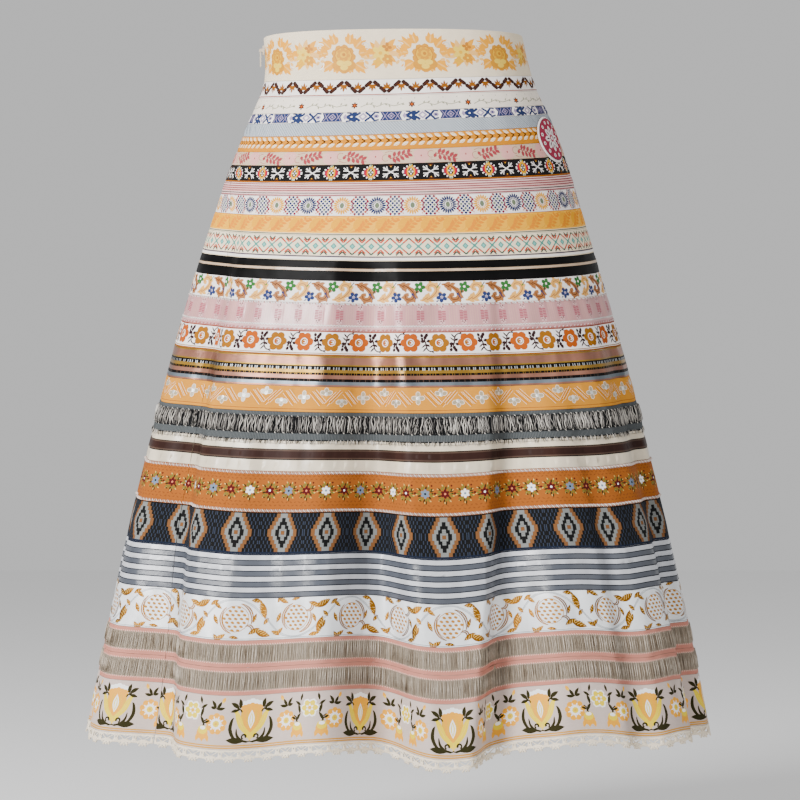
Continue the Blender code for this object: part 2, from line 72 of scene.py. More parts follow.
# drop, half width, shift to the side, front and back depth as shares of the half width, dip
# of the middle, tilt to the side, power of the oval, and angle of the side seam
LEVELS = np.array((
    (0.0, 129.5, -5.0, 0.73, 0.78, 0.0, 1.0, 2.40, 176.0),
    (25.0, 130.5, -2.0, 0.73, 0.78, 4.0, 2.0, 2.40, 176.0),
    (49.0, 134.0, 0.0, 0.73, 0.78, 8.0, 3.0, 2.35, 176.0),
    (70.0, 141.0, 0.0, 0.73, 0.78, 9.0, 4.0, 2.25, 176.0),
    (91.0, 150.5, 0.0, 0.73, 0.78, 10.0, 5.0, 2.15, 175.5),
    (112.0, 158.5, 0.0, 0.73, 0.78, 11.0, 5.5, 2.10, 173.0),
    (142.0, 170.0, 0.0, 0.72, 0.77, 11.0, 4.0, 2.05, 165.5),
    (173.0, 179.5, 0.0, 0.71, 0.76, 12.0, 2.5, 2.05, 158.0),
    (215.0, 192.0, 0.0, 0.70, 0.75, 14.0, 0.5, 2.10, 152.0),
    (275.0, 210.0, 0.0, 0.68, 0.74, 15.0, 0.0, 2.15, 147.0),
    (374.0, 238.0, 0.0, 0.65, 0.72, 13.5, 0.0, 2.25, 146.2),
    (494.0, 267.5, 0.0, 0.62, 0.70, 14.0, 0.0, 2.40, 145.0),
    (610.0, 293.0, 0.0, 0.60, 0.68, 12.0, 0.0, 2.50, 141.5),
    (712.0, 313.0, 0.0, 0.59, 0.67, 12.0, 0.0, 2.50, 141.0)))
# the large folds: drop where each starts, its angle there and at the hem, its reach to
# each side, its depth at the hem, and the power by which it deepens
VALLEYS = (
    (140.0, 151.0, 137.5, 9.5, 19.0, 38.0, 0.9), (230.0, 119.0, 112.5, 8.0, 10.0, 14.0, 0.8),
    (205.0, 98.0, 92.0, 8.5, 12.0, 50.0, 0.7), (185.0, 59.0, 72.0, 12.0, 5.5, 44.0, 1.3),
    (300.0, 46.0, 45.0, 7.0, 4.0, 8.0, 1.0), (230.0, 23.0, 20.0, 7.0, 10.0, 18.0, 1.0),
    (240.0, 358.0, 355.0, 11.0, 8.0, 20.0, 0.9), (210.0, 333.0, 335.0, 7.0, 13.0, 34.0, 0.9),
    (260.0, 310.0, 307.0, 10.0, 10.0, 18.0, 0.8), (200.0, 283.0, 285.0, 13.0, 6.5, 42.0, 1.0),
    (280.0, 262.0, 261.0, 9.0, 9.0, 16.0, 0.9), (220.0, 238.0, 239.0, 7.5, 12.0, 38.0, 0.8),
    (250.0, 215.0, 216.0, 11.0, 9.0, 22.0, 0.9), (230.0, 193.0, 191.0, 9.0, 9.0, 18.0, 1.0),
    (320.0, 174.0, 170.0, 7.0, 8.0, 6.0, 1.0))
# the hem's sag: angle, half width in degrees, and depth, which is negative where it rises
SAGS = ((122, 16, 5), (101, 14, -5), (81, 15, 11), (57, 18, -10), (33, 12, -3), (345, 20, 4),
        (318, 16, -5), (295, 14, 8), (270, 15, -6), (247, 14, 5), (203, 20, -4))
# Soft creases of the worn cloth: angle and drop of the upper end, then of the lower end,
# half width in millimetres, and depth, which is negative for a ridge. Each runs out a share
# of its length past its ends, eases in over another, and wanders by some degrees.
CREASE_PAST, CREASE_EASE, CREASE_WANDER, CREASE_WAVE = 0.12, 0.35, 1.2, 31.0
CREASE_DEGREE = 0.0145    # of arc for each degree, on a half width of one
CREASES = (
    (171, 62, 163, 128, 7, 0.8), (128, 70, 138, 120, 9, 0.7), (52, 84, 44, 132, 10, -0.7),
    (66, 118, 80, 168, 9, 0.6), (110, 205, 104, 300, 9, -1.2), (80, 230, 83, 330, 10, 1.2),
    (133, 190, 126, 290, 8, 1.0), (48, 262, 53, 360, 9, 1.3), (36, 330, 33, 470, 8, -1.2),
    (125, 330, 121, 450, 8, 1.3), (67, 350, 84, 420, 9, -1.0), (104, 420, 101, 560, 9, 1.4),
    (56, 470, 60, 640, 9, 1.5), (148, 300, 153, 430, 7, 1.1), (31, 540, 30, 690, 8, 1.4),
    (126, 560, 124, 692, 8, -1.3), (82, 520, 84, 692, 9, -1.4), (12, 120, 6, 210, 10, 0.8),
    (8, 380, 5, 560, 9, 1.3), (346, 90, 352, 190, 10, 0.8), (344, 300, 346, 470, 9, -1.2),
    (322, 190, 318, 300, 9, 1.1), (321, 430, 320, 640, 9, 1.4), (300, 110, 296, 220, 11, 0.8),
    (296, 360, 298, 540, 8, -1.3), (272, 230, 270, 380, 9, 1.1), (272, 520, 273, 692, 9, 1.5),
    (250, 90, 246, 200, 10, 0.7), (249, 330, 251, 520, 9, -1.3), (227, 250, 226, 430, 9, 1.2),
    (227, 540, 228, 690, 8, 1.3), (203, 120, 206, 240, 9, 0.8), (204, 400, 203, 600, 9, -1.3),
    (183, 260, 181, 420, 8, 1.0), (182, 500, 180, 680, 8, 1.2), (190, 80, 196, 160, 8, -0.6))


def slopes(table):
    """The slope of each column at each row, by the first column."""
    before = np.vstack((table[:1], table[:-1]))
    after = np.vstack((table[1:], table[-1:]))
    return (after - before) / (after[:, :1] - before[:, :1])


LEVEL_SLOPES = slopes(LEVELS)


def level_at(drop):
    """The bare form at each drop, one row per drop, on a smooth curve through the table."""
    drop = np.atleast_1d(np.asarray(drop, float))
    row = np.clip(np.searchsorted(LEVELS[:, 0], drop, side="right") - 1, 0, len(LEVELS) - 2)
    low, high = LEVELS[row], LEVELS[row + 1]
    span = (high - low)[:, :1]
    x = (drop[:, None] - low[:, :1]) / span
    return ((2 * x ** 3 - 3 * x ** 2 + 1) * low + (x ** 3 - 2 * x ** 2 + x) * LEVEL_SLOPES[row] * span
            + (3 * x ** 2 - 2 * x ** 3) * high + (x ** 3 - x ** 2) * LEVEL_SLOPES[row + 1] * span)


def turn(angle):
    """The same angle, from -180 to 180 degrees."""
    return (angle + 180.0) % 360.0 - 180.0


def bell(offset, before, after):
    """A smooth hump, one high, with a reach to each side."""
    reach = np.where(offset < 0.0, before, after)
    return np.where(np.abs(offset) < reach, 0.5 + 0.5 * np.cos(np.pi * offset / reach), 0.0)


def fold_depth(angle, drop):
    """How deep the large folds are."""
    depth = np.zeros_like(angle)
    for start, top, hem, before, after, deep, ease in VALLEYS:
        share = np.maximum(0.0, (drop - start) / (HEM_DROP - start))
        depth += deep * share ** ease * bell(turn(angle - top - (hem - top) * share), before, after)
    return depth


def sag_depth(angle, drop):
    """How far the cloth hangs down between the folds."""
    share = np.maximum(0.0, (drop - SAG_START) / (HEM_DROP - SAG_START)) ** SAG_EASE
    return share * sum(sag * bell(turn(angle - at), half, half) for at, half, sag in SAGS)


def crease_depth(angle, drop, half_width):
    """How deep the soft creases are."""
    depth = np.zeros_like(angle)
    for top_angle, top, low_angle, low, reach, deep in CREASES:
        share = (drop - top) / (low - top)
        near = np.minimum(share + CREASE_PAST, 1.0 + CREASE_PAST - share)
        near = np.clip(near / CREASE_EASE, 0.0, 1.0)
        middle = (top_angle + (low_angle - top_angle) * share
                  + CREASE_WANDER * np.sin(drop / CREASE_WAVE + top))
        aside = turn(angle - middle) * half_width * CREASE_DEGREE
        depth += deep * near ** 2 * (3 - 2 * near) * np.exp(-(aside / reach) ** 2)
    return depth


def place(angle, drop):
    """Points of the cloth's outer surface, in millimetres."""
    level = level_at(drop)
    half_width, shift, front, back, dip, tilt, power = level[:, 1:8].T
    across, ahead = np.cos(np.radians(angle)), np.sin(np.radians(angle))
    half_depth = half_width * np.where(ahead > 0.0, front, back)
    scale = (np.abs(across) ** power + np.abs(ahead) ** power) ** (-1.0 / power)
    normal = np.stack((across / half_width, -ahead / half_depth))
    normal /= np.linalg.norm(normal, axis=0)
    middle = ahead * ahead * (1.0 + DIP_ROUND) / (np.abs(ahead) + DIP_ROUND)
    height = WAIST_UP - drop + dip * (1.0 - middle) + tilt * across - sag_depth(angle, drop)
    inward = fold_depth(angle, drop) + crease_depth(angle, drop, half_width)
    return np.stack((shift + half_width * across * scale - normal[0] * inward,
                     -half_depth * ahead * scale - normal[1] * inward, height), axis=1)


class Band:
    """A length of cloth from seam to seam between two drops, measured in millimetres
    along it from the seam and down it from its top edge."""

    STOPS = 1801        # measured along each row
    ROW = 8.0           # between one measured row and the next
    PROBE = 0.6         # to each side of a point, for the way out of the cloth
    SEAM_REACH = 4.5    # of a seam's puckers

    def __init__(self, name, top, width, pucker, front_x=0.0, crown=0.45):
        self.name, self.width, self.pucker, self.crown = name, width, pucker, crown
        self.front_x = front_x
        self.top = top + GAP / 2.0
        self.fall = width * FALL - GAP
        self.rows = np.linspace(0.0, width, max(2, int(width // self.ROW) + 1))
        self.phase = len(name) * 1.7 + width
        share = np.linspace(0.0, 1.0, self.STOPS)
        self.angles, self.runs = [], []
        for row in self.rows:
            drop = np.full(share.shape, self.top + self.fall * row / width)
            level = level_at(drop[:1])[0]
            gap = math.degrees(0.6 * GAP / (level[1] * level[3]))
            angle = level[8] - gap - (360.0 - 2.0 * gap) * share
            points = place(angle, drop)
            steps = np.linalg.norm(np.diff(points, axis=0), axis=1)
            run = np.concatenate(([0.0], np.cumsum(steps)))
            self.angles.append(angle)
            self.runs.append(run)
        self.length = self.runs[len(self.rows) // 2][-1]

    def angle_at(self, along, down):
        """The angle of a point, by the middle row, and by its own rows near the seam."""
        half = len(self.rows) // 2
        middle = np.interp(along, self.runs[half], self.angles[half])
        share = (self.angles[half][0] - middle) / (self.angles[half][0] - self.angles[half][-1])
        near = np.clip(1.0 - 10.0 * np.minimum(share, 1.0 - share), 0.0, 1.0)
        rows = np.array([middle + (angle[0] - self.angles[half][0]) * near for angle in self.angles])
        spot = np.clip(down / self.width, 0.0, 1.0) * (len(self.rows) - 1)
        low = np.minimum(spot.astype(int), len(self.rows) - 2)
        part = spot - low
        pick = np.arange(len(along))
        return rows[low, pick] * (1.0 - part) + rows[low + 1, pick] * part

    def bulge(self, along, down):
        """The crown between the seams, and the seams' puckers: short waves, whose own slower
        waves keep them from repeating."""
        middle = np.sin(np.pi * np.clip(down / self.width, 0.0, 1.0))
        edge = (np.exp(-(down / self.SEAM_REACH) ** 2)
                + np.exp(-((self.width - down) / self.SEAM_REACH) ** 2))
        wave = (np.sin(along / 5.3 + self.phase + 1.4 * np.sin(along / 37.0))
                + 0.7 * np.sin(along / 3.1 + 2.0 * self.phase + np.sin(along / 19.0)))
        long_wave = np.sin(along / 13.0 + self.phase) * np.sin(along / 47.0 + 3.0 * self.phase)
        return (self.crown * (np.sqrt(middle + 0.01) - 1.0) + self.pucker * edge * wave
                + self.pucker * 0.8 * middle * long_wave)

    def surface(self, along, down, out=0.0):
        """Points at a height over the cloth, in millimetres, and the way out of it."""
        along, down = np.asarray(along, float), np.asarray(down, float)

        def at(a, d):
            return place(self.angle_at(a, d), self.top + self.fall * d / self.width)
        here = at(along, down)
        normal = np.cross(at(along + self.PROBE, down) - at(along - self.PROBE, down),
                          at(along, down + self.PROBE) - at(along, down - self.PROBE))
        normal *= -1.0 / np.linalg.norm(normal, axis=1)[:, None]
        return here + normal * (self.bulge(along, down) + out)[:, None], normal

    def along_of(self, x):
        """How far along the front the cloth's own x is, in millimetres from the seam."""
        run = np.arange(0.0, self.length * 0.5, 0.5)
        points, normals = self.surface(run, np.full(run.shape, self.width / 2.0))
        seen = normals[:, 1] < -0.15    # faces the front
        return float(run[seen][np.argmin(np.abs(points[seen, 0] - x))])


# ------------------------------------------------------------------ yarns
# colour, then the finish: m matte, s satin, h half sheen, l metallic, f fuzzy,
# b dark satin, x metal thread on silk
YARNS = {
    "ecru": ("efe2cb", "m"), "ochre": ("dca83e", "h"), "straw": ("eac052", "h"),
    "apricot": ("f2b850", "h"), "peach": ("f2c886", "h"), "honey": ("cc942c", "h"),
    "primrose": ("f2d878", "h"), "silver_white": ("dcd9d2", "s"),
    "white": ("f4eeea", "h"), "plum": ("4e322a", "m"), "antique_gold": ("a8741e", "m"),
    "rust": ("b0602e", "m"), "cream": ("f2e9dc", "h"), "grey_green": ("a3a48e", "m"),
    "brown": ("6f3f20", "m"), "orange": ("d0761e", "m"), "blue": ("22386e", "m"),
    "lilac": ("a996b4", "h"), "mist": ("b9bfc5", "m"), "fog": ("8f969d", "m"),
    "mustard": ("e0a40c", "m"), "dark_brown": ("543318", "m"), "ivory": ("f3e6d3", "h"),
    "shell": ("dac3ac", "m"), "blush": ("e6b4ab", "h"), "rose": ("b55a5c", "m"),
    "black": ("201f20", "m"), "magenta": ("a81852", "m"), "poppy": ("dd4a26", "m"),
    "yellow": ("ecc030", "m"), "leaf_green": ("4f9a58", "m"), "gold_line": ("bd7f30", "m"),
    "pink_white": ("efcfcb", "h"), "red_line": ("9a323c", "m"), "pine": ("3e5048", "m"),
    "marigold": ("ecb80c", "m"), "navy": ("202f66", "m"), "sage": ("7f8c76", "m"),
    "crimson": ("962b45", "m"), "salmon": ("e29472", "m"), "butter": ("fcc812", "h"),
    "amber": ("f0a808", "m"), "amber_pale": ("f5be20", "m"), "bone": ("efe3cb", "m"),
    "vermilion": ("cf5c3a", "m"), "teal": ("3f9f96", "m"), "bottle": ("466054", "m"),
    "aqua": ("7cc3bd", "m"), "aubergine": ("5b4a66", "m"), "jet": ("080809", "b"),
    "graphite": ("1e1c1d", "b"), "champagne": ("cdb59c", "s"), "tan": ("b58253", "h"),
    "sand": ("ecbe78", "h"), "emerald": ("3a8350", "m"), "deep_green": ("2f5543", "m"),
    "indigo": ("2c3c76", "m"), "dusty_pink": ("d2a1a0", "s"), "pale_pink": ("e0bdba", "h"),
    "picot_rose": ("cf8f86", "m"), "dot_brown": ("5f3540", "m"), "stitch_rose": ("b8606e", "m"),
    "pumpkin": ("c4740a", "m"), "olive_gold": ("b08018", "m"), "mulberry": ("46282a", "m"),
    "copper_rose": ("b0836f", "x"), "brass": ("b3944f", "x"), "umber": ("20130f", "b"),
    "pewter": ("858e96", "x"), "silver": ("c9ccce", "l"), "apricot_ground": ("dca656", "m"),
    "saffron": ("d89e00", "m"), "stone": ("b3a790", "s"), "mirror": ("eeeeea", "l"),
    "slate": ("565a5b", "m"), "slate_light": ("74787a", "m"), "charcoal": ("2c2c2e", "f"),
    "off_white": ("ddd8d0", "f"), "ash": ("a29e9a", "f"), "satin_cream": ("ddd2be", "s"),
    "chocolate": ("4c3630", "b"), "taupe": ("6a584e", "b"), "cord_white": ("e6e2de", "s"),
    "cord_pink": ("d6b3a2", "s"), "clay": ("b2763f", "m"), "clay_dark": ("9a6236", "m"),
    "wine": ("6c0e1c", "m"), "cadet": ("7c8ca0", "m"), "moss": ("80864c", "m"),
    "midnight": ("0b0e18", "m"), "denim": ("3e485c", "m"), "ice": ("8c8e8c", "m"),
    "buff": ("8f6a48", "m"), "ink": ("182943", "m"), "satin_white": ("c6c7cc", "s"),
    "satin_grey": ("5e626c", "s"), "lead": ("30343e", "m"), "brocade": ("e2e4e6", "s"),
    "gold": ("a0761a", "l"), "old_gold": ("c09238", "h"), "pale_gold": ("e2c07a", "h"),
    "vine": ("8f9499", "h"), "rose_tape": ("cc9484", "m"), "rose_stitch": ("ecd0c2", "m"),
    "flax": ("aea292", "f"),
    "flax_light": ("cdc2b4", "f"), "flax_dark": ("948676", "f"), "linen": ("cfc0b8", "m"),
    "tulip_amber": ("f2bc22", "h"), "lemon": ("efdc58", "h"), "olive": ("45421f", "m"),
    "halo": ("f0efec", "h"), "hem_gold": ("d6a83c", "h"), "crochet": ("f1e6d3", "f"),
    "patch_rose": ("b3455c", "m"), "patch_line": ("5d2d44", "m"), "patch_white": ("efe6e4", "m"),
    "lining": ("d9cfc0", "m"),
}
PALE_GROUNDS = ("white", "cream", "ecru", "ivory", "bone", "butter")    # lined with "lining"
DEPTH = 1.35    # power that deepens the written colours to those of the dyed yarn
DYE = ((0.84, 0.04, 0.12), (-0.02, 0.84, 0.18), (0.0, -0.11, 1.11))    # and turns their hues
FINISH = {  # roughness, gloss, metallic, bump, shade of the weave, slub, painted sheen along the cloth
    "m": (0.88, 0.20, 0.0, 0.35, 0.18, 0.10, 0.04), "h": (0.58, 0.35, 0.0, 0.25, 0.14, 0.08, 0.06),
    "s": (0.30, 0.65, 0.0, 0.12, 0.08, 0.07, 0.25), "l": (0.32, 0.50, 0.85, 0.40, 0.25, 0.35, 0.25),
    "b": (0.46, 0.07, 0.0, 0.14, 0.08, 0.07, 0.30), "x": (0.30, 0.60, 0.60, 0.20, 0.14, 0.15, 0.50),
    "f": (0.95, 0.20, 0.0, 0.60, 0.30, 0.25, 0.05)}
WARP, WEFT = 0.48, 0.62                    # waves for each unit of the cloth's own map
SLUB_STRETCH = (0.12, 1.1, 1.0)            # of the noise, along and down the cloth
# stretch of the noise for the painted sheen: lighter and darker patches along the cloth
PAINTED_SHEEN_STRETCH = (0.045, 0.012, 1.0)


def linear(code):
    """A written colour as linear light."""
    values = [int(code[i:i + 2], 16) / 255.0 for i in (0, 2, 4)]
    light = [v / 12.92 if v <= 0.04045 else ((v + 0.055) / 1.055) ** 2.4 for v in values]
    deep = [v ** DEPTH for v in light]
    return [min(1.0, max(0.002, sum(a * v for a, v in zip(row, deep)))) for row in DYE]


class Nodes:
    """A new material, and a short hand for building its nodes."""

    def __init__(self, name):
        self.material = bpy.data.materials.new(name)
        self.material.use_nodes = True
        self.tree = self.material.node_tree
        self.shader = self.tree.nodes["Principled BSDF"]

    def fill(self, node, inputs):
        """Link or set a node's inputs."""
        for key, value in inputs.items():
            if isinstance(value, bpy.types.NodeSocket):
                self.tree.links.new(value, node.inputs[key])
            else:
                node.inputs[key].default_value = value

    def add(self, kind, inputs=(), **settings):
        node = self.tree.nodes.new("ShaderNode" + kind)
        for key, value in settings.items():
            setattr(node, key, value)
        self.fill(node, dict(inputs))
        return node

    def math(self, operation, one, two=0.0):
        return self.add("Math", {0: one, 1: two}, operation=operation).outputs[0]

    def noise(self, where, scale, detail):
        return self.add("TexNoise", {"Vector": where, "Scale": scale, "Detail": detail}).outputs["Fac"]

    def stretched_noise(self, where, stretch, detail):
        return self.noise(self.add("Mapping", {"Vector": where, "Scale": stretch}).outputs[0], 1.0, detail)

    def threads(self, where, way, scale):
        return self.add("TexWave", {"Vector": where, "Scale": scale, "Distortion": 0.6, "Detail": 1.0},
                        bands_direction=way).outputs["Fac"]

    def around_zero(self, value, strength):
        return self.math("MULTIPLY", self.math("SUBTRACT", value, 0.5), strength)

    def tinted(self, code, value):
        """A written colour, made lighter and darker by a value."""
        return self.add("HueSaturation", {"Value": value, "Color": (*linear(code), 1.0)}).outputs[0]

    def relief(self, height, strength, distance):
        return self.add("Bump", {"Height": height, "Strength": strength, "Distance": distance}).outputs[0]


def make_yarn(name):
    """A woven yarn: over-and-under threads in relief and in shade, with uneven slubs."""
    code, finish = YARNS[name]
    roughness, gloss, metallic, bump, shade, slub, painted_sheen = FINISH[finish]
    nodes = Nodes("yarn_" + name)
    where = nodes.add("UVMap", uv_map="cloth").outputs[0]
    thread = nodes.math("ADD", nodes.math("MULTIPLY", nodes.threads(where, "X", WARP), 0.5),
                        nodes.math("MULTIPLY", nodes.threads(where, "Y", WEFT), 0.5))
    uneven = nodes.stretched_noise(where, SLUB_STRETCH, 3.0)
    # painted sheen: long lighter and darker patches along the cloth stand for the satin's shifting highlights
    # and dark reflections; on matte yarns it is only a faint uneven tone
    sweep = nodes.stretched_noise(where, PAINTED_SHEEN_STRETCH, 2.0)
    mixed = nodes.math("ADD", nodes.math("MULTIPLY", thread, shade), nodes.around_zero(uneven, 2.0 * slub))
    mixed = nodes.math("ADD", mixed, nodes.around_zero(sweep, 4.0 * painted_sheen))
    value = nodes.math("ADD", mixed, 1.0 - shade * 0.5)
    height = nodes.math("ADD", thread, nodes.math("MULTIPLY", uneven, 0.6))
    nodes.fill(nodes.shader, {
        "Base Color": nodes.tinted(code, value), "Normal": nodes.relief(height, bump, 0.0003),
        "Roughness": roughness, "Metallic": metallic, "Specular IOR Level": gloss})
    return nodes.material


def yarn(name):
    return bpy.data.materials.get("yarn_" + name) or make_yarn(name)


# ------------------------------------------------------------------ motif outlines
def ellipse(x, y, rx, ry=None, tilt=0.0, sides=10):
    """An ellipse or a disc, with fewer sides where it is small; 4 sides make a lozenge."""
    ry = rx if ry is None else ry
    sides = min(sides, 5 if max(rx, ry) < 1.0 else 6) if max(rx, ry) < 1.5 else sides
    c, s = math.cos(math.radians(tilt)), math.sin(math.radians(tilt))
    ring = [2.0 * math.pi * i / sides for i in range(sides)]
    return [(x + rx * math.cos(a) * c - ry * math.sin(a) * s,
             y + rx * math.cos(a) * s + ry * math.sin(a) * c) for a in ring]


def box(x0, y0, x1, y1):
    return [(x0, y0), (x1, y0), (x1, y1), (x0, y1)]


def away(x, y, way, reach):
    """The point that lies a reach away; ways turn clockwise from straight up."""
    a = math.radians(way)
    return x + reach * math.sin(a), y - reach * math.cos(a)


def leaf(x, y, way, length, wide, bend=0.0):
    """A pointed leaf from its stem, with steps of its bend along it."""
    left, right = [], []
    px, py = x, y
    steps = 2 if length < 4.2 else 3 if length < 8.0 else 5
    for i in range(steps + 1):
        share = i / steps
        half = wide / 2.0 * math.sin(math.pi * share) if 0 < i < steps else 0.0
        turned = way + bend * (share - 0.5)
        ox, oy = away(0.0, 0.0, turned + 90.0, half)
        left.append((px - ox, py - oy))
        if 0 < i < steps:
            right.append((px + ox, py + oy))
        px, py = away(px, py, turned, length / steps)
    return left + right[::-1]


def petal(x, y, way, near, length, wide):
    """A petal that starts a way off its flower's middle."""
    px, py = away(x, y, way, near + length / 2.0)
    return ellipse(px, py, wide / 2.0, length / 2.0, way, 7)


def curve(points, steps=3):
    """A smooth line through points."""
    ends = [points[0], *points, points[-1]]
    line = []
    for a, b, c, d in zip(ends, ends[1:], ends[2:], ends[3:]):
        for i in range(steps):
            t = i / steps
            line.append(tuple(0.5 * (2 * b[k] + (c[k] - a[k]) * t
                                     + (2 * a[k] - 5 * b[k] + 4 * c[k] - d[k]) * t * t
                                     + (3 * b[k] - a[k] - 3 * c[k] + d[k]) * t ** 3)
                              for k in (0, 1)))
    return line + [points[-1]]


def stroke(points, wide, end_wide=None, swell=0.0):
    """A line of a width, which may change to another by its end or swell in the middle."""
    end_wide = wide if end_wide is None else end_wide
    left, right = [], []
    for i, (x, y) in enumerate(points):
        before, after = points[max(i - 1, 0)], points[min(i + 1, len(points) - 1)]
        dx, dy = after[0] - before[0], after[1] - before[1]
        size = math.hypot(dx, dy) or 1.0
        share = i / (len(points) - 1)
        half = (wide + (end_wide - wide) * share + swell * math.sin(math.pi * share)) / 2.0
        left.append((x - dy / size * half, y + dx / size * half))
        right.append((x + dy / size * half, y - dx / size * half))
    return left + right[::-1]


def arc(x, y, radius, start, end, steps=8, grow=0.0):
    """Points round an arc, from one way to another, whose radius may grow."""
    return [away(x, y, start + (end - start) * i / steps, radius + grow * i / steps)
            for i in range(steps + 1)]


def mirrored(shapes, x):
    """The same shapes, mirrored about an upright line."""
    return [(colour, [(2.0 * x - px, py) for px, py in points]) for colour, points in shapes]


def bloom(x, y, petals, near, length, wide, colour, start=0.0):
    """A ring of petals."""
    return [(colour, petal(x, y, start + 360.0 * i / petals, near, length, wide))
            for i in range(petals)]


def leaves(colour, rows):
    """Leaves of one colour: place, way, length, width and perhaps bend of each."""
    return [(colour, leaf(*row)) for row in rows]


def discs(colour, rows):
    """Discs and ellipses of one colour."""
    return [(colour, ellipse(*row)) for row in rows]


def level(colour, top, low, reach=50.0):
    """A stripe along the ribbon, which reaches past both ends of its repeat."""
    return colour, box(-reach, top, reach, low)


def placed(x, y, flip, size=1.0):
    """A way to put a motif's points in place, upside down where flip is -1."""
    return lambda px, py: (x + px * size, y + flip * py * size)


def flipped(way, flip):
    """A leaf's way, upside down too where flip is -1."""
    return way if flip > 0 else 180 - way


def stripes(*edges):
    """Bands of colour: the drop where each starts, then its colour."""
    marks = list(edges) + [(999.0, None)]
    return [(colour, box(-500.0, y, 500.0, after[0]))
            for (y, colour), after in zip(marks, marks[1:]) if y > 0.0 or colour]


# ------------------------------------------------------------------ the patterns
# Each gives its repeat, its ground and its motifs, painted in order, in millimetres
# along the ribbon and down from its upper edge.
def waistband():
    shapes = []
    for x, y, way, size in ((-12, 19, -46, 16), (-7, 15, -16, 13), (-15, 24, -80, 15),
                            (12, 19, 44, 16), (7, 15, 12, 13), (15, 24, 82, 15),
                            (-11, 33, -122, 15), (11, 34, 124, 16), (-6, 36, -158, 9),
                            (5, 37, 160, 8)):
        for turned in (-34, -12, 12, 34):
            shapes.append(("apricot" if turned % 24 else "peach",
                           leaf(x, y, way + turned, size * (1.05 - abs(turned) / 90), 4.6)))
        shapes.append(("peach", leaf(x, y, way, size * 0.8, 1.8)))
    shapes += bloom(0, 27, 9, 3.0, 9.6, 8.4, "ochre", 12)
    shapes += [("ochre", ellipse(x, y, 5.4)) for x, y in ((0, 39), (-6.5, 36), (6.5, 36))]
    shapes += [("honey", ellipse(0, 26, 9.0, 8.6)), ("straw", ellipse(0, 26, 8.2, 7.8))]
    shapes += bloom(0, 25, 7, 1.5, 5.6, 4.4, "ochre")
    shapes += [("primrose", ellipse(x, y, 4.0, 2.8)) for x, y in ((-3.4, 33.4), (3.8, 33.8), (0, 38))]
    shapes += [("straw", ellipse(0, 25, 3.4)), ("honey", ellipse(0.5, 25, 1.7))]
    for i in range(13):
        way = i * 360 / 13
        size = 17.5 + 3.0 * math.sin(way * 2.3)
        shapes.append(("apricot" if i % 3 else "peach",
                       leaf(39 + 2.5 * math.sin(way), 25, way + 14, size, 6.0, 24)))
    shapes += bloom(36.5, 24, 5, 1.2, 7.4, 5.8, "primrose", 20)
    shapes += bloom(43.0, 30, 5, 0.5, 5.0, 4.2, "ochre", 50)
    shapes += bloom(33.5, 33, 4, 0.4, 4.6, 3.8, "straw", 10)
    shapes += bloom(43.5, 18, 4, 0.4, 4.6, 3.4, "honey", 10)
    shapes += [("straw", ellipse(36.5, 24, 1.8)), ("primrose", ellipse(43.0, 30, 1.2))]
    for x, flip in ((22.5, 1.0), (56.5, -1.0)):
        shapes.append(("silver_white", stroke(arc(x, 17, 3.6, -60 * flip, 170 * flip), 1.3, 0.6)))
        shapes.append(("silver_white", stroke(arc(x + 2 * flip, 35, 4.2, 20 * flip, -190 * flip), 1.6, 0.6)))
        shapes.append(("silver_white", stroke([(x - 6, 31), (x, 28), (x + 6, 26)], 1.3, 0.5)))
        shapes += bloom(x, 24, 4, 0.4, 5.0, 3.2, "apricot", 60 * flip)
        shapes += bloom(x - 2, 31, 3, 0.4, 5.2, 3.0, "peach", 20 * flip)
    return 79.0, "ecru", shapes


def leaf_zigzag():
    shapes = []
    for x0, y0, x1, y1 in ((0.7, 1.6, 7.3, 7.5), (7.1, 7.5, 13.5, 13.4)):
        dx, dy = x1 - x0, y1 - y0
        size = math.hypot(dx, dy)
        nx, ny = -dy / size * 2.0, dx / size * 2.0
        corners = ((0.01, 0.5), (0.12, 1), (0.88, 1), (0.99, 0.5),
                   (0.99, -0.5), (0.88, -1), (0.12, -1), (0.01, -0.5))
        shapes.append(("plum", [(x0 + dx * a + nx * b, y0 + dy * a + ny * b) for a, b in corners]))
        shapes.append(("brown", stroke([(x0 + dx * a, y0 + dy * a) for a in (0.25, 0.75)], 0.6)))
    shapes += mirrored(shapes, 0.0)
    for x, y, way in ((0.0, 5.2, 180), (14.1, 9.8, 0)):
        shapes += [("antique_gold", leaf(x, y, way + turned, size, wide)) for turned, size, wide in
                   ((-64, 4.6, 2.2), (-33, 6.4, 2.2), (0, 7.6, 2.6), (33, 6.4, 2.2), (64, 4.6, 2.2))]
    shapes.append(level("rust", 15.0, 15.9))
    return 28.2, "white", shapes


def cream_sprig():
    shapes = [("grey_green", box(x - 0.3, 2.6, x + 0.3, 3.8)) for x in (3, 17, 31, 45)]
    shapes += bloom(0, 9.6, 6, 0.4, 3.0, 1.9, "brown")
    shapes.append(("orange", ellipse(0, 9.6, 1.2)))
    stem = curve([(6, 11.4), (14, 8.4), (22, 11.0), (30, 8.2), (38, 10.8), (48, 8.2)])
    shapes.append(("grey_green", stroke(stem, 0.7)))
    rows = ((11, 9.4, 30), (18, 9.6, 150), (25, 10.0, 20), (33, 9.2, 150), (41, 9.8, 30),
            (15, 8.6, 60), (29, 8.4, 120), (45, 9.2, 100))
    shapes += leaves("grey_green", ((*row, 3.8, 1.5) for row in rows))
    return 55.5, "cream", shapes


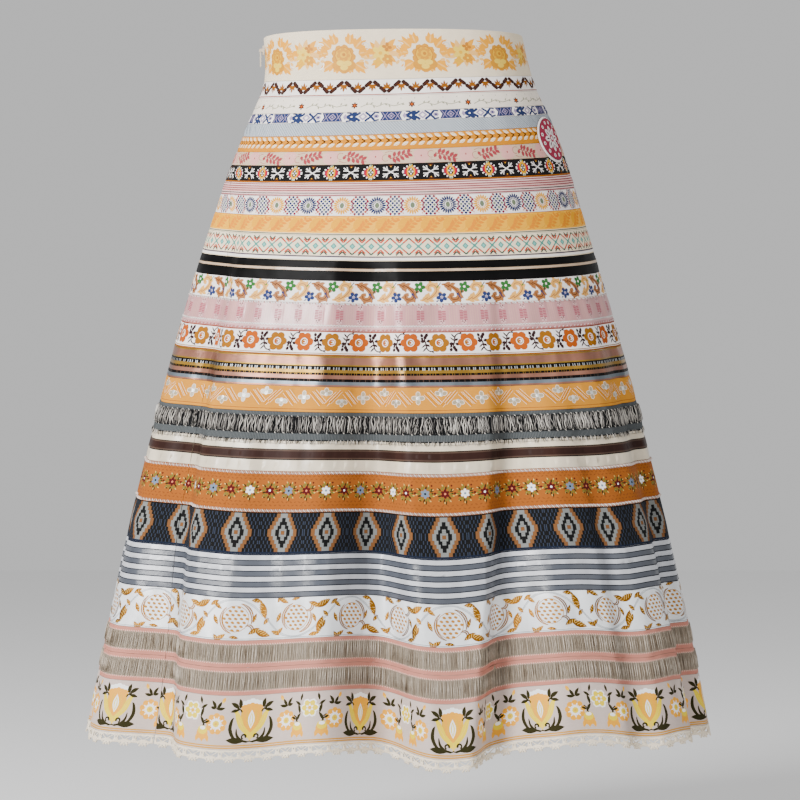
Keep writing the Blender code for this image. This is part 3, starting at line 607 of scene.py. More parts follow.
def blue_geometric():
    middle = 4.9
    shapes = [("blue", [(0.5, 0.2), (22.5, 0.2), (20.0, middle), (22.5, 9.6), (0.5, 9.6), (3.0, middle)])]
    for x in (5.4, 17.8):
        for side in (-1, 1):
            shapes += [("lilac", stroke([(x - side * 2.6, 0.9), (x + side * 2.6, 8.9)], 0.6))]
    shapes += [("lilac", [(7.4, middle), (11.6, 1.2), (15.8, middle), (11.6, 8.6)]),
               ("blue", [(8.8, middle), (11.6, 2.4), (14.4, middle), (11.6, 7.4)]),
               ("lilac", ellipse(11.6, middle, 1.2, 1.2, 0, 6)),
               ("lilac", ellipse(24.6, middle, 2.0, 3.2, 0, 4))]
    lines = ((2.9, (26.4, 0.0), (30.8, 2.4), (35.8, 4.8)), (2.5, (32.0, 0.0), (36.2, 2.0), (39.8, 4.4)),
             (1.6, (25.8, 4.4), (30.6, 3.9)), (2.2, (44.6, 4.6), (48.8, 1.4), (53.8, -3.8)),
             (1.6, (53.0, 4.6), (58.4, 3.6)))
    for flip in (-1, 1):
        for wide, *points in lines:
            shapes.append(("blue", stroke([(x, middle + flip * y) for x, y in points], wide)))
    shapes += [("lilac", [(37.6, middle), (42.4, 0.8), (47.2, middle), (42.4, 9.0)]),
               ("white", [(40.0, middle), (42.4, 2.8), (44.8, middle), (42.4, 7.0)]),
               ("lilac", ellipse(55.6, middle, 2.9, 2.2, 0, 6)),
               ("blue", ellipse(55.6, middle, 1.3, 1.0, 0, 6))]
    return 58.9, "white", shapes


def grey_twill():
    return 15.0, "mist", [("fog", stroke([(x - 7.0, -1.0), (x + 7.0, 14.0)], 0.55))
                          for x in range(-8, 23, 3)]


def yellow_braid():
    shapes = []
    for flip in (-1, 1):
        near = 6.5 + flip * 2.0
        shapes.append(("ivory", leaf(0.0, near + flip * 3.4, 90 - flip * 26, 7.4, 3.5)))
        shapes.append(("straw", stroke([(1.6, near + flip * 3.2), (5.2, near + flip * 1.5)], 0.5)))
        shapes.append(("dark_brown", stroke([(4.4, 6.5), (0.9, 6.5 + flip * 2.1)], 1.3, 0.9)))
    return 8.0, "mustard", shapes


def pink_leaf():
    shapes = []
    for x in (0.0, 44.9):
        shapes += [("blush", ellipse(x + dx, dy, 4.4, 3.4)) for dx, dy in
                   ((-3.4, 4.6), (3.2, 4.2), (-3.0, 9.6), (3.4, 9.4), (0, 2.6), (0, 11.2))]
        shapes.append(("rose", ellipse(x, 6.8, 0.7, 1.1)))
    stem = curve([(8, 4.6), (14, 6.2), (21, 8.4), (30, 11.4)])
    rows = ((11, 5.6, 30, 5.0), (14, 6.4, 38, 5.4), (18, 7.6, 42, 5.2), (22, 8.8, 50, 5.0),
            (12, 6.0, 170, 4.8), (16, 7.0, 160, 5.0), (20, 8.4, 150, 4.6),
            (25, 9.8, 60, 5.2), (25, 10.2, 140, 4.0), (9, 5.0, 210, 3.6))
    for x, flip in ((6.0, 1.0), (50.9, -1.0)):
        def at(px, py, x=x, flip=flip):
            return x + px, 6.9 + flip * (py - 6.9)
        shapes.append(("rose", stroke([at(*p) for p in stem], 1.0, 0.5)))
        shapes += leaves("rose", [(*at(px, py), flipped(way, flip), size * 1.3, 3.7)
                                  for px, py, way, size in rows])
        loop = arc(x + 4.0, 6.9 - flip * 1.4, 3.4, flipped(40, flip), flipped(-200, flip), 9)
        shapes.append(("rose", stroke(loop, 0.5, 0.4)))
        shapes.append(("rose", stroke([at(3, 10.6), at(8, 12.4), at(12, 11.2)], 0.5, 0.3)))
    return 89.8, "shell", shapes


def cross_stitch():
    shapes = [("gold_line", box(-50, 16.7, 90, 18.1))]
    y = 8.5
    for way, reach, wide in ((0, 7.6, 3.0), (34, 7.2, 1.3), (62, 8.0, 1.3), (90, 8.4, 2.8),
                             (118, 8.0, 1.3), (146, 7.2, 1.3)):
        for turned in (0, 180):
            shapes.append(("white", stroke([(0, y), away(0, y, way + turned, reach)], wide)))
    cut = ((-1, -0.4), (-0.45, -1), (0.45, -1), (1, -0.4), (1, 0.4), (0.45, 1), (-0.45, 1), (-1, 0.4))
    for colour, rx, ry in (("magenta", 6.8, 4.8), ("poppy", 5.0, 4.8), ("yellow", 3.7, 6.0),
                           ("black", 2.6, 3.8)):
        shapes.append((colour, [(rx * a, y + ry * b) for a, b in cut]))
    shapes += discs("white", [(dx, y + dy, 0.95, 0.95, 0, 6) for dx, dy in
                              ((0, -2.1), (0, 2.1), (-1.6, 0), (1.6, 0))])
    shapes += discs("leaf_green", ((0, y, 0.7, 0.7, 0, 6), (0, 15.4, 1.6, 0.6, 0, 6),
                                   (0, 1.7, 1.6, 0.6, 0, 6)))
    x = 19.45
    arms = (((0.0, 0.0), (4.2, 2.4), (7.4, 5.0), 0.9, 1.4), ((3.0, 1.6), (4.2, 5.8), 0.6, 0.9),
            ((3.4, 1.8), (7.6, 1.9), 0.6, 0.9))
    for flip in (-1.0, 1.0):
        for side in (-1.0, 1.0):
            for *points, wide, end_wide in arms:
                arm = [(x + side * px, y + flip * py) for px, py in points]
                shapes.append(("white", stroke(arm, wide, end_wide)))
        shapes.append(("brown", [(x - 2.8, y + flip * 7.4), (x + 2.8, y + flip * 7.4), (x, y + flip * 4.6)]))
        shapes.append(("yellow", ellipse(x, y + flip * 5.6, 0.7, 0.6, 0, 6)))
    return 38.9, "black", shapes


def red_stripe():
    lines = [level("red_line", y, y + 0.95) for y in (0.9, 3.2, 5.5, 7.8, 12.7)]
    wide = [level("blush", y, y + 0.8) for y in (4.2, 6.5, 8.8)]
    return 12.0, "pink_white", wide + lines + [level("pine", 10.5, 11.5)]


def medallion():
    shapes = []
    for x in (17.15, 51.45):
        for i in range(-4, 5):
            for j in range(-4, 5):
                px, py = x + i * 2.0, 9.7 + j * 2.15
                if (i + j) % 2 or abs(i) + abs(j) == 8:
                    continue
                ring = abs(i) + abs(j)
                colour = {0: "sage", 2: "sage", 4: "navy", 6: "crimson", 8: "navy"}[ring]
                if abs(i) == abs(j):
                    colour = "navy" if abs(i) < 3 else "salmon"
                shapes.append((colour, ellipse(px, py, 1.6, 1.65, 0, 4)))
        for side in (-1, 1):
            for flip in (-1, 1):
                hook = [(x + side * px, 9.7 + flip * py)
                        for px, py in ((6.2, 1.5), (7.8, 4.6), (6.0, 7.2))]
                shapes.append(("crimson", stroke(hook, 1.5, 0.9)))
            shapes.append(("crimson", ellipse(x + side * 7.4, 9.7, 1.4, 1.4, 0, 6)))
            shapes.append(("salmon", ellipse(x + side * 7.9, 17.6, 0.9, 0.9, 0, 4)))
    for x, colour in ((0.0, "marigold"), (34.3, "navy")):
        shapes += [("white", ellipse(x, 9.7, 9.4, 9.6))]
        shapes += bloom(x, 9.7, 20, 4.2, 5.1, 2.0, colour)
        shapes += bloom(x, 9.7, 14, 2.6, 2.0, 1.5, colour)
        shapes += [("white", ellipse(x, 9.7, 3.1, 3.6)), ("sage", ellipse(x, 9.7, 2.2, 3.0))]
    return 68.6, "white", shapes


def yellow_leaf():
    shapes = [("amber_pale", ellipse(4.0, 8.8, 8.4, 6.6, -18)), level("amber", 0.0, 0.5)]
    spine = curve([(-5, 16.4), (2, 15.0), (6, 10.6), (10, 6.0), (16, 2.6), (24, 1.6)])
    shapes.append(("amber", stroke(spine, 0.8, 0.6)))
    rows = ((-2, 16.0, 52, 5), (1.4, 15.0, 22, 5.4), (4.0, 12.8, 4, 6), (6.4, 10.2, -8, 6),
            (8.8, 7.4, -4, 5), (1.0, 15.4, 118, 4.6), (4.0, 13.4, 104, 6), (6.6, 10.6, 100, 6.4),
            (9.2, 7.6, 98, 6.4), (12.4, 4.8, 100, 5.6), (12.0, 4.6, 10, 4.0), (16.0, 2.8, 120, 4.6))
    shapes += leaves("amber", [(*row, 3.0) for row in rows])
    shapes.append(("amber_pale", stroke(arc(13.5, 10.2, 5.2, 80, 240, 9), 0.9, 0.6)))
    shapes.append(("amber_pale", stroke(arc(2.5, 7.0, 4.6, -100, 40, 8), 0.8, 0.5)))
    shapes += [level("butter", 16.4, 17.8), level("bone", 17.8, 20.5), level("bottle", 18.4, 19.3)]
    return 21.8, "butter", shapes


def diamond():
    top, low, half = 2.2, 18.8, 9.25
    middle = (top + low) / 2.0
    shapes = []
    for side in (-1.0, 1.0):
        for flip in (-1.0, 1.0):
            y = middle + flip * (low - top) / 2.0
            marks = ((0.0, "bottle"), (0.22, "vermilion"), (0.62, "teal"), (1.0, None))
            for (a, colour), (b, after) in zip(marks, marks[1:]):
                shapes.append((colour, stroke([(side * half * a, y + (middle - y) * a),
                                               (side * half * b, y + (middle - y) * b)], 1.45)))
            for shift, colour in ((0.0, "vermilion"), (2.0, "bottle")):
                shapes.append((colour, stroke([(half, middle + flip * (3.7 + shift)),
                                               (half - side * 3.4, middle + flip * (7.0 + shift))], 1.4)))
    for radius, colour in ((3.0, "teal"), (1.7, "aqua")):
        shapes.append((colour, ellipse(0, middle, radius, radius * 1.1, 0, 4)))
    shapes.append(("teal", ellipse(half, middle, 1.6, 1.6, 0, 4)))
    shapes += [level("aubergine", 20.4, 21.7), level("white", 22.0, 24.0)]
    return 18.5, "bone", shapes


def black_satin():
    return 12.0, "graphite", stripes((4.0, "jet"), (7.6, "champagne"), (10.1, "jet"), (13.8, "graphite"))


def acanthus(x, y, flip, colour, dark):
    """A scroll of curling leaves that runs up, or with flip of -1 down, to the right."""
    at = placed(x, y, flip, 1.15)
    sweep = curve([at(-9.5, 6.4), at(-4.0, 6.0), at(1.8, 2.4), at(5.0, -2.4), at(3.0, -6.6),
                   at(-1.4, -6.4), at(-2.2, -3.0), at(0.6, -2.4)])
    shapes = [(colour, stroke(sweep, 1.6, 3.2, 2.8))]
    rows = ((-8, 6.6, 58, 7.4), (-5.5, 6.2, 30, 7.4), (-2.5, 5.4, 12, 7.0), (0, 3.8, 76, 7.4),
            (2.5, 1.4, 60, 6.6), (-7, 6.6, 112, 6.6), (-3, 6.4, 104, 6.6), (5.0, -2.0, 46, 6.0),
            (4.8, -5.4, 16, 4.8), (1.6, -7.2, -40, 5.4), (4.6, -0.4, 108, 6.0), (-2.6, -5.0, -84, 4.0))
    shapes += leaves(colour, [(*at(px, py), flipped(way, flip), size, 3.4, 26 * flip)
                              for px, py, way, size in rows])
    return shapes + [(dark, stroke(sweep[3:-6], 0.8, 0.7)), (dark, stroke(sweep[-12:-3], 0.7, 0.6)),
                     (dark, stroke([at(-7.6, 6.6), at(-3.0, 4.0)], 0.5, 0.9))]


def white_scroll():
    shapes = acanthus(11.0, 11.4, 1.0, "sand", "tan") + acanthus(32.4, 10.4, -1.0, "tan", "brown")
    shapes += bloom(0, 5.6, 5, 0.8, 5.0, 4.2, "emerald", 20)
    shapes += [("white", ellipse(0, 5.4, 1.1)), ("deep_green", leaf(-2.0, 8.6, 205, 4.4, 1.6)),
               ("deep_green", stroke([(17.6, 5.4), (20.8, 1.2)], 0.9)),
               ("leaf_green", ellipse(17.4, 5.6, 1.1, 0.8))]
    shapes += bloom(21.0, 15.8, 5, 0.9, 4.7, 4.0, "indigo", 45)
    shapes += [("lilac", ellipse(21.0, 16.0, 1.3)), ("indigo", leaf(18.4, 18.6, 240, 4.0, 1.5)),
               ("indigo", stroke([(36.6, 13.0), (40.0, 17.8)], 0.9)), ("indigo", ellipse(36.4, 12.8, 1.2))]
    return 43.6, "white", shapes


def pink_moire():
    shapes = [("cord_pink", box(x, 1.6, x + 0.5, 21.4)) for x in (1.0, 3.4, 17.4, 19.6)]
    for y in (4.0, 18.2):
        shapes += bloom(10.3, y, 6, 0.6, 2.6, 1.7, "pale_pink")
        shapes += discs("dot_brown", ((9.0, y - 0.6, 0.6, 0.8, 0, 6), (11.6, y - 0.9, 0.7, 0.9, 0, 6),
                                      (10.4, y + 1.0, 0.5, 0.6, 0, 6)))
    for i in range(6):
        y = 7.0 + 1.6 * i
        shapes += [("stitch_rose", box(6.6, y, 10.1, y + 0.95)),
                   ("stitch_rose", box(10.5, y + 0.5, 14.0, y + 1.4))]
    for i in range(7):
        x = i * 20.7 / 7
        shapes += [("cord_white", stroke([(x, 21.6), (x + 1.5, 22.8), (x + 2.96, 21.6)], 0.9)),
                   ("cord_white", ellipse(x + 1.4, 0.5, 1.0, 1.1)),
                   ("picot_rose", ellipse(x + 1.4, 27.0, 1.1, 0.9))]
    return 21.0, "dusty_pink", shapes + [level("pale_pink", 23.6, 24.2)]


def orange_flower():
    shapes = [level("rust", 0, 0.9, 90), level("olive_gold", 21.6, 22.4, 90),
              level("antique_gold", 23.0, 24.6, 90)]
    stem = curve([(10.5, -7.8), (6.0, -8.8), (2.6, -6.0), (1.6, -1.0), (0.2, 3.2)])
    rows = ((2.4, -1.0, -50, 6.8, 1.7), (2.6, -4.4, -42, 6.4, 1.7), (0.8, 0.6, -105, 4.8, 3.6),
            (0.4, 2.6, 165, 5.4, 3.8), (2.0, 1.0, 105, 4.8, 3.4), (-0.6, 2.2, -140, 4.0, 2.8),
            (1.6, -1.6, 60, 4.6, 2.6), (6.2, -8.4, 60, 4.2, 1.3), (1.2, 5.2, 150, 5.0, 3.8),
            (-1.4, 5.0, -160, 4.4, 3.4))
    for x, flip in ((-14.6, 1.0), (13.3, -1.0)):
        at = placed(x, 10.8, flip)
        shapes.append(("mulberry", stroke([at(*p) for p in stem], 1.1, 1.6)))
        shapes += leaves("mulberry", [(*at(px, py), flipped(way, flip), size, wide)
                                      for px, py, way, size, wide in rows])
    for x, y, colour, heart in ((0.0, 10.8, "pumpkin", "olive_gold"), (27.9, 11.0, "olive_gold", "pumpkin")):
        for i in range(6):
            px, py = away(x, y, 60 * i + 30, 6.4)
            shapes.append((colour, ellipse(px, py, 3.9, 3.5, 60 * i + 30, 9)))
        shapes += [("white", ellipse(x, y, 3.9)), (heart, ellipse(x, y, 3.1)),
                   ("white", ellipse(x + 0.7, y, 1.8)), (colour, ellipse(x, y, 1.2))]
    return 55.8, "white", shapes


def brown_metallic():
    shapes = stripes((0.0, "brass"), (1.2, "copper_rose"), (8.2, "brass"), (9.6, "umber"),
                     (13.4, "brass"), (16.4, "umber"), (18.6, "copper_rose"), (22.4, "umber"),
                     (25.2, "pewter"), (28.4, "copper_rose"))
    for i in range(11):
        x = 3.1 * i + 0.7 * math.sin(2.6 * i)
        shapes += [("silver", box(x, 10.9, x + 1.0, 13.4)), ("brass", box(x + 1.2, 16.4, x + 1.6, 18.6))]
        if i % 2 or i in (2, 8):
            shapes.append(("taupe", box(x + 0.3, 22.4, x + 0.9, 25.2)))
    return 34.1, "copper_rose", shapes


PEACH_REPEAT = 61.9
PEACH_FLOWERS = ((0.0, 10.4, (0, 90, 180, 270)), (22.4, 7.2, (0, 68, -68)),
                 (38.6, 13.4, (180, 112, -112)))    # place and the ways of its petals


def peach_sequin():
    shapes = []
    for x, flip in ((14.4, 1.0), (29.6, -1.0), (47.7, 1.0)):
        for shift, wide in ((-1.6, 3.3), (2.4, 2.2)):
            ends = [(x + shift - flip * 5.6, 5.0 - shift * 0.5),
                    (x + shift + flip * 5.6, 17.0 - shift * 0.5)]
            shapes += [("cream", stroke(ends, wide + 0.6)), ("saffron", stroke(ends, wide))]
    for x, y, ways in PEACH_FLOWERS:
        for way in ways:
            shapes += [("cream", petal(x, y, way, 0.5, 6.2, 4.8)),
                       ("stone", petal(x, y, way, 0.8, 5.4, 3.9))]
    return PEACH_REPEAT, "apricot_ground", shapes + [level("clay", 22.0, 22.6, 90)]


def charcoal_boucle():
    shapes = stripes((0.0, "slate"), (4.4, "charcoal"), (21.0, "slate"), (27.6, "charcoal"),
                     (28.7, "satin_cream"))
    for i in range(14):
        x = i * 1.5
        shapes += [("slate_light", box(x, 0.0, x + 0.5, 4.4)),
                   ("slate_light", box(x, 21.0, x + 0.5, 27.6))]
    return 21.0, "slate", shapes


def cream_satin():
    return 12.0, "satin_cream", stripes((5.2, "umber"), (6.0, "taupe"), (7.4, "chocolate"), (13.8, "taupe"),
                                        (15.2, "umber"), (16.2, "satin_cream"))


def orange_star():
    shapes = []
    for i in range(17):
        for j, y in enumerate((4.8, 7.6, 30.0, 33.2)):
            x = 77.0 / 17.0 * i + 2.2 * (j % 2)
            shapes.append(("clay_dark", ellipse(x, y, 1.8, 0.6, 28 if (i + j) % 2 else -28, 4)))
    hearts = (("wine", "white"), ("cadet", "midnight"), ("wine", "salmon"), ("halo", "cadet"))
    for k, (colour, heart) in enumerate(hearts):
        x = 19.25 * k
        for i in range(18):
            way = i * 20 + 6
            reach = 3.4 + 1.2 * (i % 2)
            shapes.append(("moss" if i % 3 else "olive",
                           leaf(*away(x, 18.8, way, reach), way + 8, 4.6, 1.9)))
            if i % 2:
                shapes.append(("pale_gold", leaf(*away(x, 18.8, way, 7.2), way - 16, 2.6, 1.2)))
        shapes += bloom(x, 18.8, 6, 0.4, 4.3, 3.0, colour)
        shapes += [(heart, ellipse(x, 18.8, 1.2)), ("wine", ellipse(x + 9.6, 18.4, 1.4, 1.2)),
                   ("wine", ellipse(x + 6.4, 11.0, 1.0))]
        shapes += leaves("olive", ((x + 8.6, 18.4, -90, 3.0, 1.6), (x + 1.2, 25.4, 190, 4.2, 1.6),
                                   (x + 7.0, 13.0, 200, 3.6, 1.6), (x - 6.6, 24.4, 120, 3.6, 1.6)))
    return 77.0, "clay", shapes


# The stepped lozenge, one quarter of it, in picks of the weave from its middle outward:
# t and o tan, i and s pale, m ground, d dull blue.
IKAT_ROWS = ("timmssoomdmd", "iimmssoomdmd", "immssoomdmdm", "immssoomdmdm", "mmssoomdmdmd",
             "mmssoomdmdmd", "mssoomdmdmdm", "mssoomdmdmdm", "ssoomdmdmdmd", "ssoommdmdmdm")


def navy_ikat():
    picks = {"t": "buff", "i": "ice", "s": "ice", "o": "buff", "d": "denim"}
    wide, tall = 45.6 / 24.0, 19.0 / 10.0
    shapes = []
    for row, marks in enumerate(IKAT_ROWS):
        for mark, colour in picks.items():
            spots = [column for column, found in enumerate(marks) if found == mark]
            blocks = []
            if mark == "d":
                blocks = [(c + 0.25, c + 0.75, row, row + 1.8) for c in spots if row % 2 == 0]
            elif spots:
                lap = 0.35 if mark in "so" and row else 0.0
                blocks = [(spots[0], spots[-1] + 0.96, row - lap, row + 0.94)]
            for x0, x1, y0, y1 in blocks:
                for sx in (-wide, wide):
                    for sy in (-tall, tall):
                        shapes.append((colour, [(sx * x, 19.6 + sy * y) for x, y in box(x0, y0, x1, y1)]))
    return 45.6, "midnight", shapes + [level("ink", 38.2, 40.1, 90)]


def grey_stripe():
    marks = [(0.0, "ink")]
    for i in range(4):
        y = 1.2 + 10.4 * i
        marks += [(y, "satin_white"), (y + 4.4, "lead"), (y + 5.3, "satin_grey"), (y + 9.4, "lead")]
    return 12.0, "satin_white", stripes(*marks)


BROCADE_STEM = ((-30.25, 0, 1.0), (-24, -8, 1.0), (-16, -15, 1.0), (-6, -18, 0.6), (6, -17.6, 0.6),
                (17, -12, 1.0), (24, -5, 1.0), (30.25, 0, 1.0))    # place, and share of the shift
BROCADE_LEAVES = (
    (23.0, -17.5, 165, 19.0, 6.6), (34.0, 17.0, -66, 17.0, 6.6), (14.0, -18.0, 100, 11.0, 4.2),
    (-17.0, 6.0, -24, 11.0, 4.0), (-6.0, 17.4, 98, 10.0, 3.2), (27.0, 6.0, 40, 8.5, 3.8),
    (-21.0, 15.0, 150, 11.0, 4.4), (-14.0, -9.0, -50, 11.0, 3.8), (12.5, 15.0, 64, 13.0, 4.8),
    (-9.0, 14.5, -118, 13.0, 4.4), (30.0, -3.0, -30, 10.0, 3.8), (17.0, 4.0, 20, 10.0, 3.2),
    (-26.0, -12.0, 60, 10.0, 4.0))


def gold_brocade():
    shapes = []
    for x, flip in ((0.0, 1.0), (60.5, -1.0)):
        at = placed(x, 19.6, flip)
        for shift in (-1.0, 0.0, 1.0):
            stem = curve([at(px, py + shift * share) for px, py, share in BROCADE_STEM], 5)
            shapes.append(("vine", stroke(stem, 0.35)))
        shapes += [("old_gold", ellipse(*at(0.0, 0.0), 13.2, 12.8, 0, 16)),
                   ("brocade", ellipse(*at(0.0, 0.0), 12.6, 12.2, 0, 16))]
        for i in range(-2, 3):
            for j in range(-3, 4):
                px, py = i * 5.6 + (j % 2) * 2.8, j * 3.7
                if (px / 12.0) ** 2 + (py / 12.5) ** 2 < 1.0:
                    shapes.append(("old_gold", ellipse(*at(px, py), 2.0, 1.3, 20, 7)))
        for curl in (arc(0, 0, 14.4, 196, 320, 12), arc(1, 0, 15.0, 14, 112, 10),
                     arc(12.5, 10.5, 4.2, -40, 170, 8)):
            shapes.append(("gold", stroke([at(*p) for p in curl], 0.7, 0.5, 2.6)))
            shapes.append(("brocade", stroke([at(*p) for p in curl[1:-1]], 0.1, 0.1, 0.5)))
        for px, py, way, size, wide in BROCADE_LEAVES:
            turned = flipped(way, flip)
            base = at(px, py)
            shapes.append(("gold", leaf(*base, turned, size, wide, 16)))
            for i in range(1, int(size / 2.6)):
                share = i * 2.6 / size
                rib = away(*base, turned + 4, size * share)
                half = wide * 0.42 * math.sin(math.pi * share)
                shapes.append(("pale_gold", stroke([away(*rib, turned - 50, half * 1.2),
                                                    away(*rib, turned + 130, half * 1.2)], 0.6)))
    return 121.0, "brocade", shapes + [level("vine", 38.6, 39.1, 200)]


def strands(width):
    shapes = stripes((0.0, "rose_tape"), (4.2, "flax"), (width - 4.4, "rose_tape"))
    for i in range(10):
        x = i * 2.4
        shapes += [("rose_stitch", stroke([(x, 3.2), (x + 1.2, 4.6)], 0.55)),
                   ("rose_stitch", stroke([(x, width - 3.4), (x + 1.2, width - 4.8)], 0.55))]
    return 24.0, "flax", shapes


def upper_strands():
    return strands(26.0)


def lower_strands():
    return strands(26.5)


def tulip():
    shapes = discs("halo", ((0, 8.4, 4.6, 5.6), (-7.4, 10.4, 4.6, 5.4), (7.4, 10.4, 4.6, 5.4),
                            (-3.8, 9.0, 4.2, 5), (3.8, 9.0, 4.2, 5)))
    shapes += discs("tulip_amber", ((0, 11.4, 3.6, 4.6), (-7.2, 13.0, 3.6, 4.4), (7.2, 13.0, 3.6, 4.4),
                                    (-3.7, 12.0, 3.4, 4.2), (3.7, 12.0, 3.4, 4.2)))
    shapes += leaves("tulip_amber", ((0, 39, -14, 27, 9, 20), (0, 39, 14, 27, 9, -20), (0, 39, 0, 30, 12, 0)))
    shapes += discs("tulip_amber", ((-4.6, 19, 5.4, 9), (4.6, 19, 5.4, 9)))
    shapes += leaves("straw", ((-7.4, 30, -8, 18, 3.0), (7.4, 30, 8, 18, 3.0),
                               (-3.2, 30, -4, 18, 3.0), (3.2, 30, 4, 18, 3.0)))
    for side in (-1, 1):
        edge = curve([(side * 17.6, 14.6), (side * 14.4, 16.6), (side * 11.8, 23.0),
                      (side * 8.6, 30.0), (side * 1.5, 37.5)])
        shine = [(side * 13.6, 18.6), (side * 11.2, 25.0), (side * 7.6, 31.0)]
        shapes += [("lemon", stroke(edge, 0.8, 3.8, 3.0)), ("primrose", stroke(shine, 0.5, 0.9))]
    shapes += [("halo", leaf(0, 32, 0, 18, 6.4)), ("lemon", leaf(0, 30.4, 0, 14, 3.8)),
               ("halo", leaf(0, 29, 0, 11, 1.9)), ("lemon", ellipse(0, 38.6, 3.6, 3.2)),
               ("primrose", leaf(0, 44.5, 0, 7, 2.4))]
    half = [("olive", outline) for outline in (
        leaf(6, 44.6, 84, 17, 6.2, 12),
        stroke(curve([(1.5, 44.6), (8, 43.0), (12.6, 38), (13.6, 31.5)]), 1.2, 0.7, 1.8),
        stroke(curve([(9, 44.6), (16, 40), (19.6, 32), (18.6, 24), (16.8, 21)]), 0.9, 0.5, 2.8),
        stroke(arc(5.6, 39.4, 2.4, 160, -130, 8, -0.8), 1.5, 2.2),
        stroke([(-0.5, 43.8), (3, 45.0), (7, 44.0)], 1.2),
        leaf(11.5, 13.0, 10, 10.5, 4.0, 34), leaf(12.0, 13.0, 58, 11, 4.2, 30),
        leaf(12.0, 14.0, 104, 9.0, 3.4, 24), stroke(curve([(9.5, 16), (11, 13.6), (14.5, 13.0)]), 1.5))]
    shapes += half + mirrored(half, 0.0)
    for x in (35.0, 86.0):
        for i in range(9):
            px, py = away(x, 27, 40 * i, 7.6)
            shapes.append(("tulip_amber", ellipse(px, py, 3.1, 2.9, 40 * i, 9)))
        shapes.append(("tulip_amber", ellipse(x, 27, 7.6)))
        shapes += [("halo", petal(x, 27, 40 * i + 20, 3.0, 4.8, 1.3)) for i in range(9)]
        shapes += [("halo", petal(x, 27, 40 * i, 2.4, 3.2, 2.2)) for i in range(9)]
        shapes += [("lemon", ellipse(x, 27, 3.1)), ("straw", ellipse(x, 27, 1.4))]
        side = 1 if x < 60 else -1
        for px, py, way, size in ((1, 13, -30, 9), (1, 13, -78, 9), (1, 13, 34, 10), (1.5, 13, 74, 6)):
            shapes.append(("olive", leaf(x + side * px, py, side * way, size, 3.2, side * 22)))
        shapes += [("tulip_amber", leaf(x - side * 4.4, 7.4, side * -24, 6.4, 3.6)),
                   ("lemon", leaf(x - side * 4.4, 7.4, side * -24, 3.4, 1.6)),
                   ("olive", leaf(x + side * 9.6, 33, side * 150, 8, 2.6, side * 20)),
                   ("olive", leaf(x + side * 9, 36, side * 110, 7, 2.6, side * 14))]
    x = 60.5
    shapes += bloom(x, 16, 6, 0.5, 9.4, 8.0, "halo", 30)
    shapes += bloom(x, 16, 6, 1.0, 7.4, 5.8, "lemon", 30)
    shapes += bloom(x, 16, 6, 0.6, 3.6, 2.0, "halo", 0)
    shapes += [("straw", ellipse(x, 16, 1.9))]
    half = [("olive", leaf(x + 10, 22, 16, 11, 3.2, 26)), ("olive", leaf(x + 9, 21, 150, 10, 3.0, 20)),
            ("olive", leaf(x + 9.0, 13, 56, 8, 2.8)), ("olive", leaf(x + 9.6, 9, -12, 8, 2.6)),
            ("tulip_amber", ellipse(x + 12.5, 36.4, 6.0, 6.4))]
    half += [("tulip_amber", leaf(x + 12.5 + dx, 36, 180 - dx * 4, 9, 3.8)) for dx in (-3.8, 0, 3.8)]
    half += [("lemon", ellipse(x + 12.5, 33.4, 5.0, 4.4)), ("halo", ellipse(x + 12.5, 31.4, 3.0, 1.8)),
             ("olive", stroke([(x + 12.6, 29.6), (x + 13.4, 25), (x + 16.6, 22.4)], 1.3)),
             ("olive", leaf(x + 13, 27, 64, 7.4, 2.6)), ("olive", leaf(x + 13.4, 25, -46, 6.0, 2.3))]
    shapes += half + mirrored(half, x)
    return 119.6, "linen", shapes + [level("hem_gold", 47.2, 48.5, 200), level("hem_gold", 49.3, 50.6, 200)]


PATTERNS = {pattern.__name__: pattern for pattern in (
    waistband, leaf_zigzag, cream_sprig, blue_geometric, grey_twill, yellow_braid, pink_leaf,
    cross_stitch, red_stripe, medallion, yellow_leaf, diamond, black_satin, white_scroll, pink_moire,
    orange_flower, brown_metallic, peach_sequin, charcoal_boucle, cream_satin, orange_star, navy_ikat,
    grey_stripe, gold_brocade, upper_strands, lower_strands, tulip)}


# ------------------------------------------------------------------ cloth from outlines
TILE_STEP, LACE_STEP, PATCH_STEP = 4.7, 9.2, 4.0    # between a tile's own points
TILE_PAST = 60.0                                    # an outline is clipped this far past it
LONG_REPEAT = 30.0
BACK_ALONG, BACK_DOWN = 7.0, 8.0                    # the squares of a ribbon's plain back


def inside(points, outline):
    """Which points lie in an outline."""
    x, y = points[:, 0], points[:, 1]
    within = np.zeros(len(points), bool)
    ax, ay = outline[-1]
    for bx, by in outline:
        if ay != by:
            crossed = (ay > y) != (by > y)
            with np.errstate(divide="ignore", invalid="ignore"):
                at = (bx - ax) * (y - ay) / (by - ay) + ax
            within ^= crossed & (x < at)
        ax, ay = bx, by
    return within


